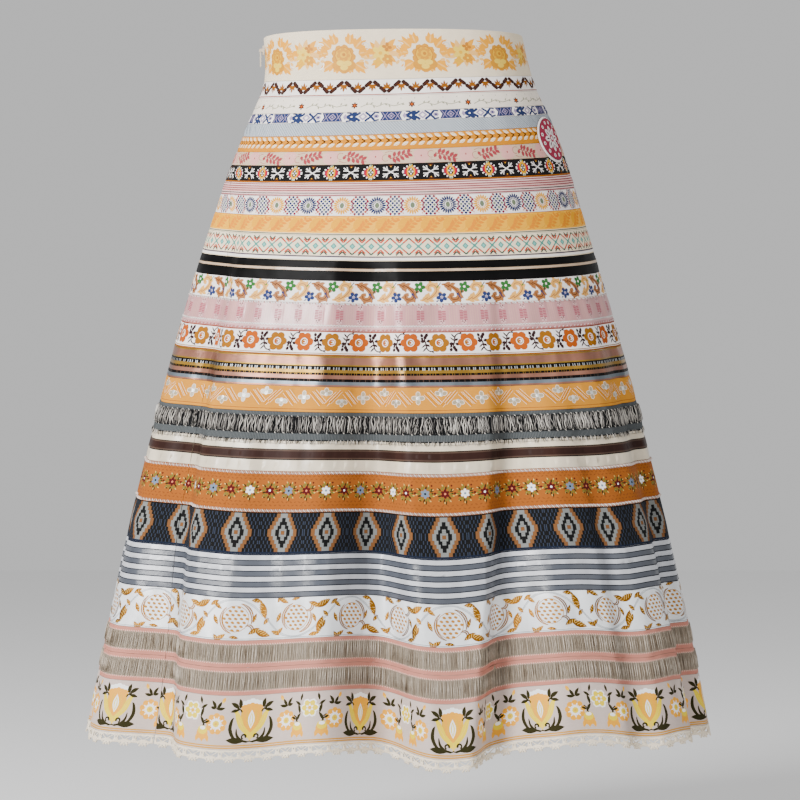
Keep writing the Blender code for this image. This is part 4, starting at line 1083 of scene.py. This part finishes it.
def make_tile(period, height, shapes, cuts, spacing):
    """One repeat, cut into triangles along every outline: points, corners, the triangles'
    middles, the number of each one's colour, or -1 for the ground, and the colours."""
    wrapped = []
    for colour, outline in shapes:
        low, high = min(p[0] for p in outline), max(p[0] for p in outline)
        for shift in range(-3, 4):
            if high + shift * period > -1.0 and low + shift * period < period + 1.0:
                wrapped.append((colour, [
                    (min(max(x + shift * period, -TILE_PAST), period + TILE_PAST),
                     min(max(y, -2.0), height + 2.0)) for x, y in outline]))
    points, edges = [], []

    def ring(outline, closed=True):
        first = len(points)
        points.extend(Vector(p) for p in outline)
        edges.extend((first + i, first + i + 1) for i in range(len(outline) - 1))
        if closed:
            edges.append((len(points) - 1, first))
    for colour, outline in wrapped:
        ring(outline)
    ring([(0.0, 0.0), (period, 0.0), (period, height), (0.0, height)])
    for cut in cuts:
        ring([(cut, -1.0), (cut, height + 1.0)], False)
    columns = max(1, round(period / spacing))
    rows = max(2, round(height / (spacing + 0.6)))
    if period > LONG_REPEAT:    # its level edges follow the folds too
        levels = {round(a[1], 3) for colour, outline in wrapped for a, b in zip(outline, outline[1:])
                  if a[1] == b[1] and abs(b[0] - a[0]) > TILE_PAST and 0.0 < a[1] < height}
        for level in sorted(levels):
            for i in range(columns + 1):
                points.append(Vector((period * i / columns, level)))
    for i in range(columns + 1):
        for j in range(rows + 1):
            points.append(Vector((period * i / columns, height * j / rows)))
    found = delaunay_2d_cdt(points, edges, [], 0, 1e-4)
    corners = np.array([(p.x, p.y) for p in found[0]])
    triangles = np.array([t for t in found[2] if len(t) == 3])
    middle = corners[triangles].mean(axis=1)
    kept = (middle[:, 0] > 0) & (middle[:, 0] < period) & (middle[:, 1] > 0) & (middle[:, 1] < height)
    triangles, middle = triangles[kept], middle[kept]
    colours = np.full(len(triangles), -1)
    names = []
    for colour, outline in wrapped:
        if colour not in names:
            names.append(colour)
        colours[inside(middle, outline)] = names.index(colour)
    return corners, triangles, middle, colours, names


def mesh_of(name, points, triangles, colours, names, uv):
    """A mesh of triangles in metres, with a yarn for each."""
    mesh = bpy.data.meshes.new(name)
    mesh.vertices.add(len(points))
    mesh.vertices.foreach_set("co", (np.asarray(points) * MM).ravel())
    mesh.loops.add(triangles.size)
    mesh.loops.foreach_set("vertex_index", triangles.ravel().astype(np.int32))
    mesh.polygons.add(len(triangles))
    mesh.polygons.foreach_set("loop_start", np.arange(0, triangles.size, 3, dtype=np.int32))
    mesh.update(calc_edges=True)
    for colour in names:
        mesh.materials.append(yarn(colour))
    mesh.polygons.foreach_set("material_index", np.asarray(colours, np.int32))
    mesh.polygons.foreach_set("use_smooth", np.ones(len(triangles), bool))
    layer = mesh.uv_layers.new(name="cloth")
    layer.data.foreach_set("uv", np.asarray(uv)[triangles.ravel()].ravel())
    mesh.validate()
    return mesh


def add_piece(name, mesh, slot):
    """A piece of the skirt, attached to the skirt's body. Its slot is not used."""
    piece = bpy.data.objects.new(name, mesh)
    bpy.context.scene.collection.objects.link(piece)
    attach(piece, "skirt")
    return piece


def lay_tiles(tile, offsets, low, high, per_mm):
    """Repeats of a tile along a stretch of cloth, welded where they meet and facing out:
    points, corners and the number of the tile's triangle that each came from."""
    corners, triangles, middle = tile
    points, faces, picks, count = [], [], [], 0
    for offset in offsets:
        spot = middle[:, 0] + offset
        kept = np.flatnonzero((spot > low) & (spot < high))
        used, renamed = np.unique(triangles[kept], return_inverse=True)
        points.append(corners[used] + (offset, 0.0))
        faces.append(renamed.reshape(-1, 3) + count)
        picks.append(kept)
        count += len(used)
    flat, faces, picks = np.vstack(points), np.vstack(faces), np.concatenate(picks)
    keys, index = np.unique(np.round(flat * per_mm).astype(np.int64), axis=0, return_inverse=True)
    merged = np.zeros((len(keys), 2))
    merged[index.ravel()] = flat
    merged[:, 0] = np.clip(merged[:, 0], low, high)
    faces = index.ravel()[faces]
    good = (faces[:, 0] != faces[:, 1]) & (faces[:, 1] != faces[:, 2]) & (faces[:, 0] != faces[:, 2])
    faces = faces[good]
    a, b, c = (merged[faces[:, k]] for k in range(3))
    turned = (b[:, 0] - a[:, 0]) * (c[:, 1] - a[:, 1]) - (b[:, 1] - a[:, 1]) * (c[:, 0] - a[:, 0])
    faces[turned > 0.0] = faces[turned > 0.0][:, ::-1]
    return merged, faces, picks[good]


def weave(band, pattern):
    """The cloth of a ribbon: its pattern outside, its plain back and its edges."""
    period, ground, shapes = pattern()
    start = (band.along_of(band.front_x) if band.front_x else 0.0) % period
    first = (-start) % period
    last = (first + band.length) % period
    *tile, colours, names = make_tile(period, band.width, shapes, (first, last), TILE_STEP)
    repeats = math.ceil((first + band.length) / period)
    flat, faces, picks = lay_tiles(tile, [repeat * period - first for repeat in range(repeats)],
                                   0.0, band.length, 200)
    out, normal = band.surface(flat[:, 0], flat[:, 1])
    # the back, a plain grid at the wall's depth, joined to the front by the edges
    columns = int(band.length / BACK_ALONG)
    rows = max(2, int(band.width / BACK_DOWN))
    along, down = np.meshgrid(np.linspace(0.0, band.length, columns + 1),
                              np.linspace(0.0, band.width, rows + 1), indexing="ij")
    back, unused = band.surface(along.ravel(), down.ravel(), -WALL)
    edge, unused = band.surface(along.ravel(), down.ravel())
    grid = np.arange(len(back)).reshape(columns + 1, rows + 1)
    squares = [np.stack((grid[:-1, :-1], grid[1:, :-1], grid[1:, 1:], grid[:-1, 1:]), axis=-1).reshape(-1, 4)]
    total = len(back)
    for line, flip in ((grid[:, 0], 1), (grid[:, -1], 0), (grid[0, :], 0), (grid[-1, :], 1)):
        ends = np.stack((line[:-1], line[1:], line[1:] + total, line[:-1] + total), axis=-1)
        squares.append(ends[:, ::-1] if flip else ends)
    squares = np.vstack(squares)
    more = np.vstack((squares[:, (0, 1, 2)], squares[:, (0, 2, 3)])) + len(out)
    flat_back = np.stack((along.ravel(), down.ravel()), axis=1)
    names = [ground, *names, "lining" if ground in PALE_GROUNDS else ground]
    shades = np.concatenate((colours[picks] + 1, np.full(len(more), len(names) - 1)))
    mesh = mesh_of(band.name, np.vstack((out, back, edge)), np.vstack((faces, more)), shades, names,
                   np.vstack((flat, flat_back, flat_back)))
    piece = add_piece("ribbon_" + band.name, mesh, band.name)
    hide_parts(band.name)
    return piece


class Threads:
    """Fine threads and beads laid over a ribbon, gathered into one piece."""

    SIDES, BEAD_SIDES = 3, 10

    def __init__(self, band, names):
        self.band, self.names = band, list(names)
        self.points, self.uvs, self.faces, self.shades, self.count = [], [], [], [], 0

    def gather(self, points, uvs, faces, shades):
        self.points.append(points.reshape(-1, 3))
        self.uvs.append(uvs.reshape(-1, 2))
        self.faces.append(faces.reshape(-1, 3) + self.count)
        self.shades.append(shades.ravel())
        self.count += len(self.points[-1])

    def lay(self, shades, along, down, out, radius):
        """A thread for each row of the tables: its stops along and down the ribbon,
        their height over it, and the number of its yarn."""
        along, down, out = np.broadcast_arrays(along, down, out)
        rows, stops = along.shape
        centre, normal = self.band.surface(along.ravel(), down.ravel(), out.ravel())
        centre, normal = centre.reshape(rows, stops, 3), normal.reshape(rows, stops, 3)
        way = np.gradient(centre, axis=1)
        side = np.cross(way, normal)
        side /= np.linalg.norm(side, axis=2, keepdims=True) + 1e-9
        up = np.cross(side, way)
        up /= np.linalg.norm(up, axis=2, keepdims=True) + 1e-9
        thick = np.ones(stops)
        thick[[0, -1]] = 0.3
        way_to = 2.0 * np.pi * np.arange(self.SIDES) / self.SIDES
        ring = (np.cos(way_to)[:, None] * side[:, :, None, :]
                + np.sin(way_to)[:, None] * up[:, :, None, :])
        points = centre[:, :, None, :] + radius * thick[:, None, None] * ring
        uvs = np.stack(np.broadcast_arrays((along * 1.7)[:, :, None],
                                           down[:, :, None] + 0.3 * way_to), axis=-1)
        index = np.arange(rows * stops * self.SIDES).reshape(rows, stops, self.SIDES)
        a, b = index[:, :-1], index[:, 1:]
        c, d = np.roll(a, -1, axis=2), np.roll(b, -1, axis=2)
        faces = np.stack((np.stack((a, b, d), -1), np.stack((a, d, c), -1)), axis=-2)
        self.gather(points, uvs, faces, np.repeat(shades, (stops - 1) * self.SIDES * 2))

    def dot(self, along, down, radius, high):
        """Low round domes of the first yarn, such as sequins and beads."""
        sides = self.BEAD_SIDES
        way = 2.0 * np.pi * np.arange(sides) / sides
        a = np.concatenate((along[:, None] + radius * np.cos(way), along[:, None]), axis=1)
        d = np.concatenate((down[:, None] + radius * np.sin(way), down[:, None]), axis=1)
        out = np.broadcast_to(np.array([0.05] * sides + [high]), a.shape)
        points = self.band.surface(a.ravel(), d.ravel(), out.ravel())[0]
        rim = np.arange(sides)
        fan = np.stack((rim, np.full(sides, sides), np.roll(rim, -1)), axis=-1)
        faces = fan[None] + (np.arange(len(along)) * (sides + 1))[:, None, None]
        self.gather(points, np.stack((a, d), axis=-1), faces, np.zeros(len(along) * sides, int))

    def cord(self, shades, down, pitch, wide, radius, lean=1.0):
        """A twisted cord along the ribbon: short threads that slant across it."""
        count = int(self.band.length / pitch)
        middle = (np.arange(count)[:, None] + 0.5) * pitch
        share = np.array([-0.5, 0.0, 0.5])
        self.lay(np.asarray(shades)[np.arange(count) % len(shades)], middle + share * lean * wide,
                 down + share * wide, np.array([0.15, 0.75, 0.15]) * radius * 1.6, radius)

    def piece(self, name):
        mesh = mesh_of(name, np.vstack(self.points), np.vstack(self.faces),
                       np.concatenate(self.shades), self.names, np.vstack(self.uvs))
        return add_piece(name, mesh, self.band.name)


def repeats_of(band, period, offset):
    """Where a motif's repeats fall along a ribbon."""
    start = (band.along_of(band.front_x) + offset) % period
    return np.arange(start, band.length, period)


def boucle_loops(band):
    """Loops that rise from the boucle's ground, and the fringe under it."""
    threads = Threads(band, ("charcoal", "off_white", "ash"))
    chance = np.random.default_rng(4)
    top, tall, fringe_top, fringe_pitch = 4.6, 15.4, 27.2, 1.7
    for lift, pitch, dark in ((0.5, 1.35, 0.42), (1.1, 2.3, 0.30)):
        count = int(band.length / pitch)
        stops = 4
        along = (np.arange(count)[:, None] + 0.5) * pitch + chance.uniform(-1.5, 1.5, (count, stops))
        share_down = np.linspace(0.0, 1.0, stops)[None, :] + chance.uniform(-0.05, 0.05, (count, stops))
        down = top + tall * share_down
        down = down + chance.uniform(-0.8, 0.8, (count, 1))
        out = lift + 0.7 * chance.uniform(0.0, 1.0, (count, stops))
        spot = along.mean(axis=1)
        bias = 0.08 * (np.sin(spot / 9.0) + np.sin(spot / 4.1 + 2.0))
        pick = np.where(chance.uniform(0.0, 1.0, count) < dark + bias, 0,
                        np.where(chance.uniform(0.0, 1.0, count) < 0.3, 2, 1))
        pick[::3] = 2    # no long dark stretch
        threads.lay(pick, np.clip(along, 0.4, band.length - 0.4), np.clip(down, 4.0, 21.6), out, 0.42)
    count = int(band.length / fringe_pitch)
    middle = (np.arange(count)[:, None] + 0.5) * fringe_pitch
    reach = np.array([0.0, 0.5, 1.0])
    threads.lay(chance.choice(3, count, p=(0.44, 0.38, 0.18)),
                middle + reach * chance.uniform(-2.4, 2.4, (count, 1)),
                fringe_top + reach * chance.uniform(3.2, 6.0, (count, 1)), 0.5 + reach * 0.5, 0.4)
    threads.cord((0, 0, 1), 4.2, 2.2, 1.6, 0.5)
    threads.cord((0, 1, 0, 0), 20.6, 2.2, 1.6, 0.5)
    return threads.piece("loops_" + band.name)


def loose_strands(band):
    """Slack strands across the open middle of a ribbon."""
    threads = Threads(band, ("flax", "flax_light", "flax_dark"))
    chance = np.random.default_rng(int(band.width * 10))
    for pitch, share, out in ((1.4, (0.5, 0.34, 0.16), 0.3), (2.6, (0.2, 0.65, 0.15), 0.75)):
        count = int(band.length / pitch)
        along = (np.arange(count)[:, None] + 0.5) * pitch + chance.uniform(-0.5, 0.5, (count, 3))
        threads.lay(chance.choice(3, count, p=share), np.clip(along, 0.4, band.length - 0.4),
                    np.linspace(4.3, band.width - 4.4, 3)[None, :],
                    out + chance.uniform(-0.1, 0.3, (count, 3)), 0.42)
    return threads.piece("strands_" + band.name)


def edge_cords(name, band, rows):
    """Twisted cords along a ribbon: drop down it, pitch, width, thickness, lean, yarns."""
    names = list(dict.fromkeys(name for row in rows for name in row[5]))
    threads = Threads(band, names)
    for down, pitch, wide, radius, lean, yarns in rows:
        threads.cord([names.index(name) for name in yarns], down, pitch, wide, radius, lean)
    return threads.piece(name)


def sequins(band):
    """A sequin on each flower of the ribbon."""
    threads = Threads(band, ("mirror", "silver", "cream"))
    for offset, down, ways in PEACH_FLOWERS:
        spots = repeats_of(band, PEACH_REPEAT, offset)
        threads.dot(spots, np.full(len(spots), down), 1.9, 0.5)
    return threads.piece("sequins_peach")


def lace():
    """One repeat of a crochet edging, open between its posts, with a scallop of three points."""
    shapes = [("crochet", box(-30, -1.0, 60, 1.9)), ("crochet", box(-30, 7.0, 60, 9.2)),
              ("crochet", stroke([(0.0, 0.5), (0.0, 4.0), (0.0, 8.0)], 5.4, 5.4, -1.6)),
              ("crochet", stroke([(2.0, 1.5), (6.2, 4.6), (10.6, 7.4)], 0.75)),
               ("crochet", stroke([(16.4, 1.5), (12.0, 4.4), (7.6, 7.4)], 0.75)),
               ("crochet", stroke([(6.5, 1.4), (9.2, 3.2), (12.0, 1.4)], 0.7))]
    for way, size in ((-66, 6.0), (-34, 6.4), (0, 5.6), (34, 6.4), (66, 6.0)):
        px, py = away(9.2, 7.2, 180 + way, size)
        ray = [(9.2, 7.4), ((9.2 + px) / 2.0, (7.4 + py) / 2.0), (px, min(py, 12.3))]
        shapes.append(("crochet", stroke(ray, 3.2, 1.7, -0.9)))
    shapes.append(("crochet", ellipse(9.2, 8.2, 6.4, 2.6, 0, 8)))
    shapes += discs("hole", ((0.0, 3.6, 0.8, 1.2, 0, 5), (5.6, 9.3, 0.8, 0.6, 0, 5),
                             (9.2, 9.9, 0.9, 0.6, 0, 5), (12.8, 9.3, 0.8, 0.6, 0, 5)))
    return 18.4, shapes


def cut_through(piece_name, node, band, pattern, first, last):
    """A cut-out sheet with a front, a back and walls round every opening."""
    period, shapes = pattern()
    corners, triangles, middle, colours, names = make_tile(period, band.width, shapes, (), LACE_STEP)
    solid = colours == names.index("crochet")
    repeats = range(int(first // period), int(last // period) + 1)
    flat, faces, picks = lay_tiles((corners, triangles[solid], middle[solid]),
                                   [repeat * period for repeat in repeats], first, last, 100)
    front, normal = band.surface(flat[:, 0], flat[:, 1])
    back = front - normal * WALL
    total = len(front)
    edges = np.vstack((faces[:, (0, 1)], faces[:, (1, 2)], faces[:, (2, 0)]))
    unused, pair, times = np.unique(np.sort(edges, axis=1), axis=0, return_inverse=True,
                                    return_counts=True)
    rim = edges[times[pair.ravel()] == 1]
    walls = np.vstack((np.stack((rim[:, 0], rim[:, 0] + total, rim[:, 1] + total), -1),
                       np.stack((rim[:, 0], rim[:, 1] + total, rim[:, 1]), -1)))
    every = np.vstack((faces, faces[:, ::-1] + total, walls))
    mesh = mesh_of(piece_name, np.vstack((front, back)), every, np.zeros(len(every), np.int32),
                   ["crochet"], np.vstack((flat, flat)))
    piece = add_piece(piece_name, mesh, "lace")
    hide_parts(node)
    return piece


def round_patch():
    """A round folk patch with a white edge, in place of the shaped and lettered one."""
    middle = PATCH_RADIUS
    shapes = [("patch_white", ellipse(middle, middle, middle, middle, 0, 48)),
              ("patch_line", ellipse(middle, middle, 21.2, 21.2, 0, 40)),
              ("patch_rose", ellipse(middle, middle, 20.6, 20.6, 0, 40))]
    for i in range(12):
        x, y = away(middle, middle, i * 30 + 15, 16.6)
        shapes += [("patch_white", ellipse(x, y, 1.9, 1.9, 0, 9)),
                   ("patch_line", ellipse(x, y, 0.8, 0.8, 0, 6))]
    shapes += bloom(middle, middle, 8, 2.6, 10.4, 5.6, "patch_white")    # eight petals
    shapes += leaves("patch_line", ((*away(middle, middle, i * 45, 4.2), i * 45, 6.4, 1.7)
                                    for i in range(8)))
    shapes += [("patch_rose", ellipse(middle, middle, 3.8, 3.8)),
               ("patch_white", ellipse(middle, middle, 1.9, 1.9))]
    corners, triangles, unused, colours, names = make_tile(
        2.0 * PATCH_RADIUS, 2.0 * PATCH_RADIUS, shapes, (), PATCH_STEP)
    kept = colours >= 0
    triangles, colours = triangles[kept], colours[kept]
    used, triangles = np.unique(triangles, return_inverse=True)
    triangles, corners = triangles.reshape(-1, 3), corners[used] - middle
    level = level_at(np.array([PATCH_DROP]))[0]
    radians = math.radians(PATCH_ANGLE)
    pace = math.hypot(level[1] * math.sin(radians), level[1] * level[3] * math.cos(radians))

    def at(u, v):
        return place(PATCH_ANGLE + np.degrees(u / pace), PATCH_DROP + v * FALL)
    u, v = corners.T
    here = at(u, v)
    normal = np.cross(at(u - 1.0, v) - at(u + 1.0, v), at(u, v - 1.0) - at(u, v + 1.0))
    normal *= -1.0 / np.linalg.norm(normal, axis=1)[:, None]
    if (normal[:, 0] * math.cos(radians)).mean() < 0.0:    # it faces out
        normal = -normal
    a, b, c = (here[triangles[:, k]] for k in range(3))
    facing = np.einsum("ij,ij->i", np.cross(b - a, c - a), normal[triangles[:, 0]])
    triangles[facing < 0.0] = triangles[facing < 0.0][:, ::-1]
    reach = np.hypot(u, v) / PATCH_RADIUS
    high = GAP + 0.25 + PATCH_WALL * np.sqrt(np.clip(1.0 - reach ** 14, 0.0, 1.0))
    front, back = here + normal * high[:, None], here + normal * (GAP + 0.1)
    every = np.vstack((triangles, triangles[:, ::-1] + len(front)))
    mesh = mesh_of("patch", np.vstack((front, back)), every,
                   np.concatenate((colours, colours * 0)), names, np.vstack((corners, corners)))
    piece = add_piece("patch_round", mesh, "patch")
    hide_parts("patch")
    return piece


def plain_finish(name, colour, roughness, metallic, grain, relief):
    """A finish for the zip's parts: brushed enamel or fine woven tape."""
    nodes = Nodes(name)
    uneven = nodes.noise(nodes.add("TexCoord").outputs["Object"], grain, 3.0)
    value = nodes.math("ADD", nodes.math("MULTIPLY", uneven, 0.16), 0.92)
    nodes.fill(nodes.shader, {
        "Base Color": nodes.tinted(colour, value), "Normal": nodes.relief(uneven, relief, 0.0002),
        "Roughness": roughness, "Metallic": metallic})
    return nodes.material


# ------------------------------------------------------------------ the skirt
BANDS = {}
drop = 0.0
for name, width, front_x, pucker in RIBBONS:
    BANDS[name] = Band(name, drop, width, pucker, front_x)
    drop += width * FALL
for name, band in BANDS.items():
    ribbon = weave(band, PATTERNS[name])
    print("ribbon", name, "length %.0f" % band.length, "triangles", len(ribbon.data.polygons))

boucle_loops(BANDS["charcoal_boucle"])
for name in ("upper_strands", "lower_strands"):
    loose_strands(BANDS[name])
edge_cords("cords_orange_star", BANDS["orange_star"], (
    (1.5, 2.1, 2.8, 0.8, 1.0, ("cord_white", "cord_pink")),
    (38.4, 2.1, 2.8, 0.8, 1.0, ("cord_white", "cord_pink"))))
edge_cords("picots_pink_moire", BANDS["pink_moire"], (
    (0.8, 2.0, 1.7, 0.5, 1.0, ("cord_white", "cord_white", "picot_rose")),
    (22.4, 2.4, 1.8, 0.4, 1.0, ("cord_white",)),
    (26.2, 2.4, 1.6, 0.45, -1.0, ("picot_rose", "cord_white"))))
sequins(BANDS["peach_sequin"])

lace_band = Band("lace", HEM_DROP, LACE_WIDTH, pucker=0.35, crown=0.0)
half = lace_band.length / 2.0
for name, node, first, last in (
        ("crochet_front", "lace_front", LACE_END, half - LACE_END),
        ("crochet_back", "lace_back", half + LACE_END, lace_band.length - LACE_END)):
    cut_through(name, node, lace_band, lace, first, last)
round_patch()
# node, then the finish: name, colour, roughness, metallic, grain and relief
for name, finish in (("zip_tape", ("tape_weave", "e9dfcd", 0.9, 0.0, 900.0, 0.5)),
                     ("zip_slider", ("zip_enamel", "e2d8c8", 0.38, 0.5, 300.0, 0.2)),
                     ("zip_pull", ("zip_enamel_pull", "e2d8c8", 0.38, 0.5, 300.0, 0.2))):
    material = plain_finish(*finish)
    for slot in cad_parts[name].material_slots:
        slot.material = material

# ------------------------------------------------------------------ the studio, in metres
FLOOR_HEIGHT, FLOOR_HALF = -0.80, 6.0
WORLD_LIGHT = 0.62
AIM = Vector((0.0, 0.0, -0.34))    # of the lights
# name, place, size and watts
LIGHTS = (("key", (-2.1, -2.6, 0.9), 1.3, 240.0), ("fill", (2.3, -2.2, 0.2), 1.8, 10.0),
          ("top", (0.0, 0.4, 2.2), 1.4, 14.0))
SENSOR = 0.036
CAMERA = (0.002, -3.5, -0.3368)
PHOTO_WIDTH = 0.8    # of what the camera sees at the skirt


def add_item(name, data):
    """An object of the studio, which isn't part of the skirt."""
    item = bpy.data.objects.new(name, data)
    bpy.context.scene.collection.objects.link(item)
    return item


def studio():
    """A pale floor, soft light and a level camera straight in front."""
    world = bpy.data.worlds.new("studio")
    world.use_nodes = True
    background = world.node_tree.nodes["Background"].inputs
    background[0].default_value = (1.0, 1.0, 1.0, 1.0)
    background[1].default_value = WORLD_LIGHT
    bpy.context.scene.world = world
    mesh = bpy.data.meshes.new("floor")
    mesh.from_pydata([(x * FLOOR_HALF, y * FLOOR_HALF, FLOOR_HEIGHT)
                      for x, y in ((-1, -1), (1, -1), (1, 1), (-1, 1))], [], [(0, 1, 2, 3)])
    nodes = Nodes("floor_pale")
    mottle = nodes.add("TexNoise", {"Scale": 3.0}).outputs["Fac"]
    value = nodes.math("ADD", nodes.math("MULTIPLY", mottle, 0.02), 0.86)
    shade = nodes.add("CombineColor", {0: value, 1: value, 2: value}).outputs[0]
    nodes.fill(nodes.shader, {"Base Color": shade, "Roughness": 0.9})
    mesh.materials.append(nodes.material)
    add_item("floor", mesh)
    for name, place_at, size, watts in LIGHTS:
        light = bpy.data.lights.new(name, "AREA")
        light.shape = "DISK"
        light.size = size
        light.energy = watts
        item = add_item(name, light)
        item.location = place_at
        item.rotation_euler = (AIM - Vector(place_at)).to_track_quat("-Z", "Y").to_euler()
    lens = bpy.data.cameras.new("camera")
    lens.sensor_width = SENSOR / MM
    lens.lens = SENSOR / MM * -CAMERA[1] / PHOTO_WIDTH
    camera = add_item("camera", lens)
    camera.location = CAMERA
    camera.rotation_euler = (math.pi / 2.0, 0.0, 0.0)
    bpy.context.scene.camera = camera


studio()
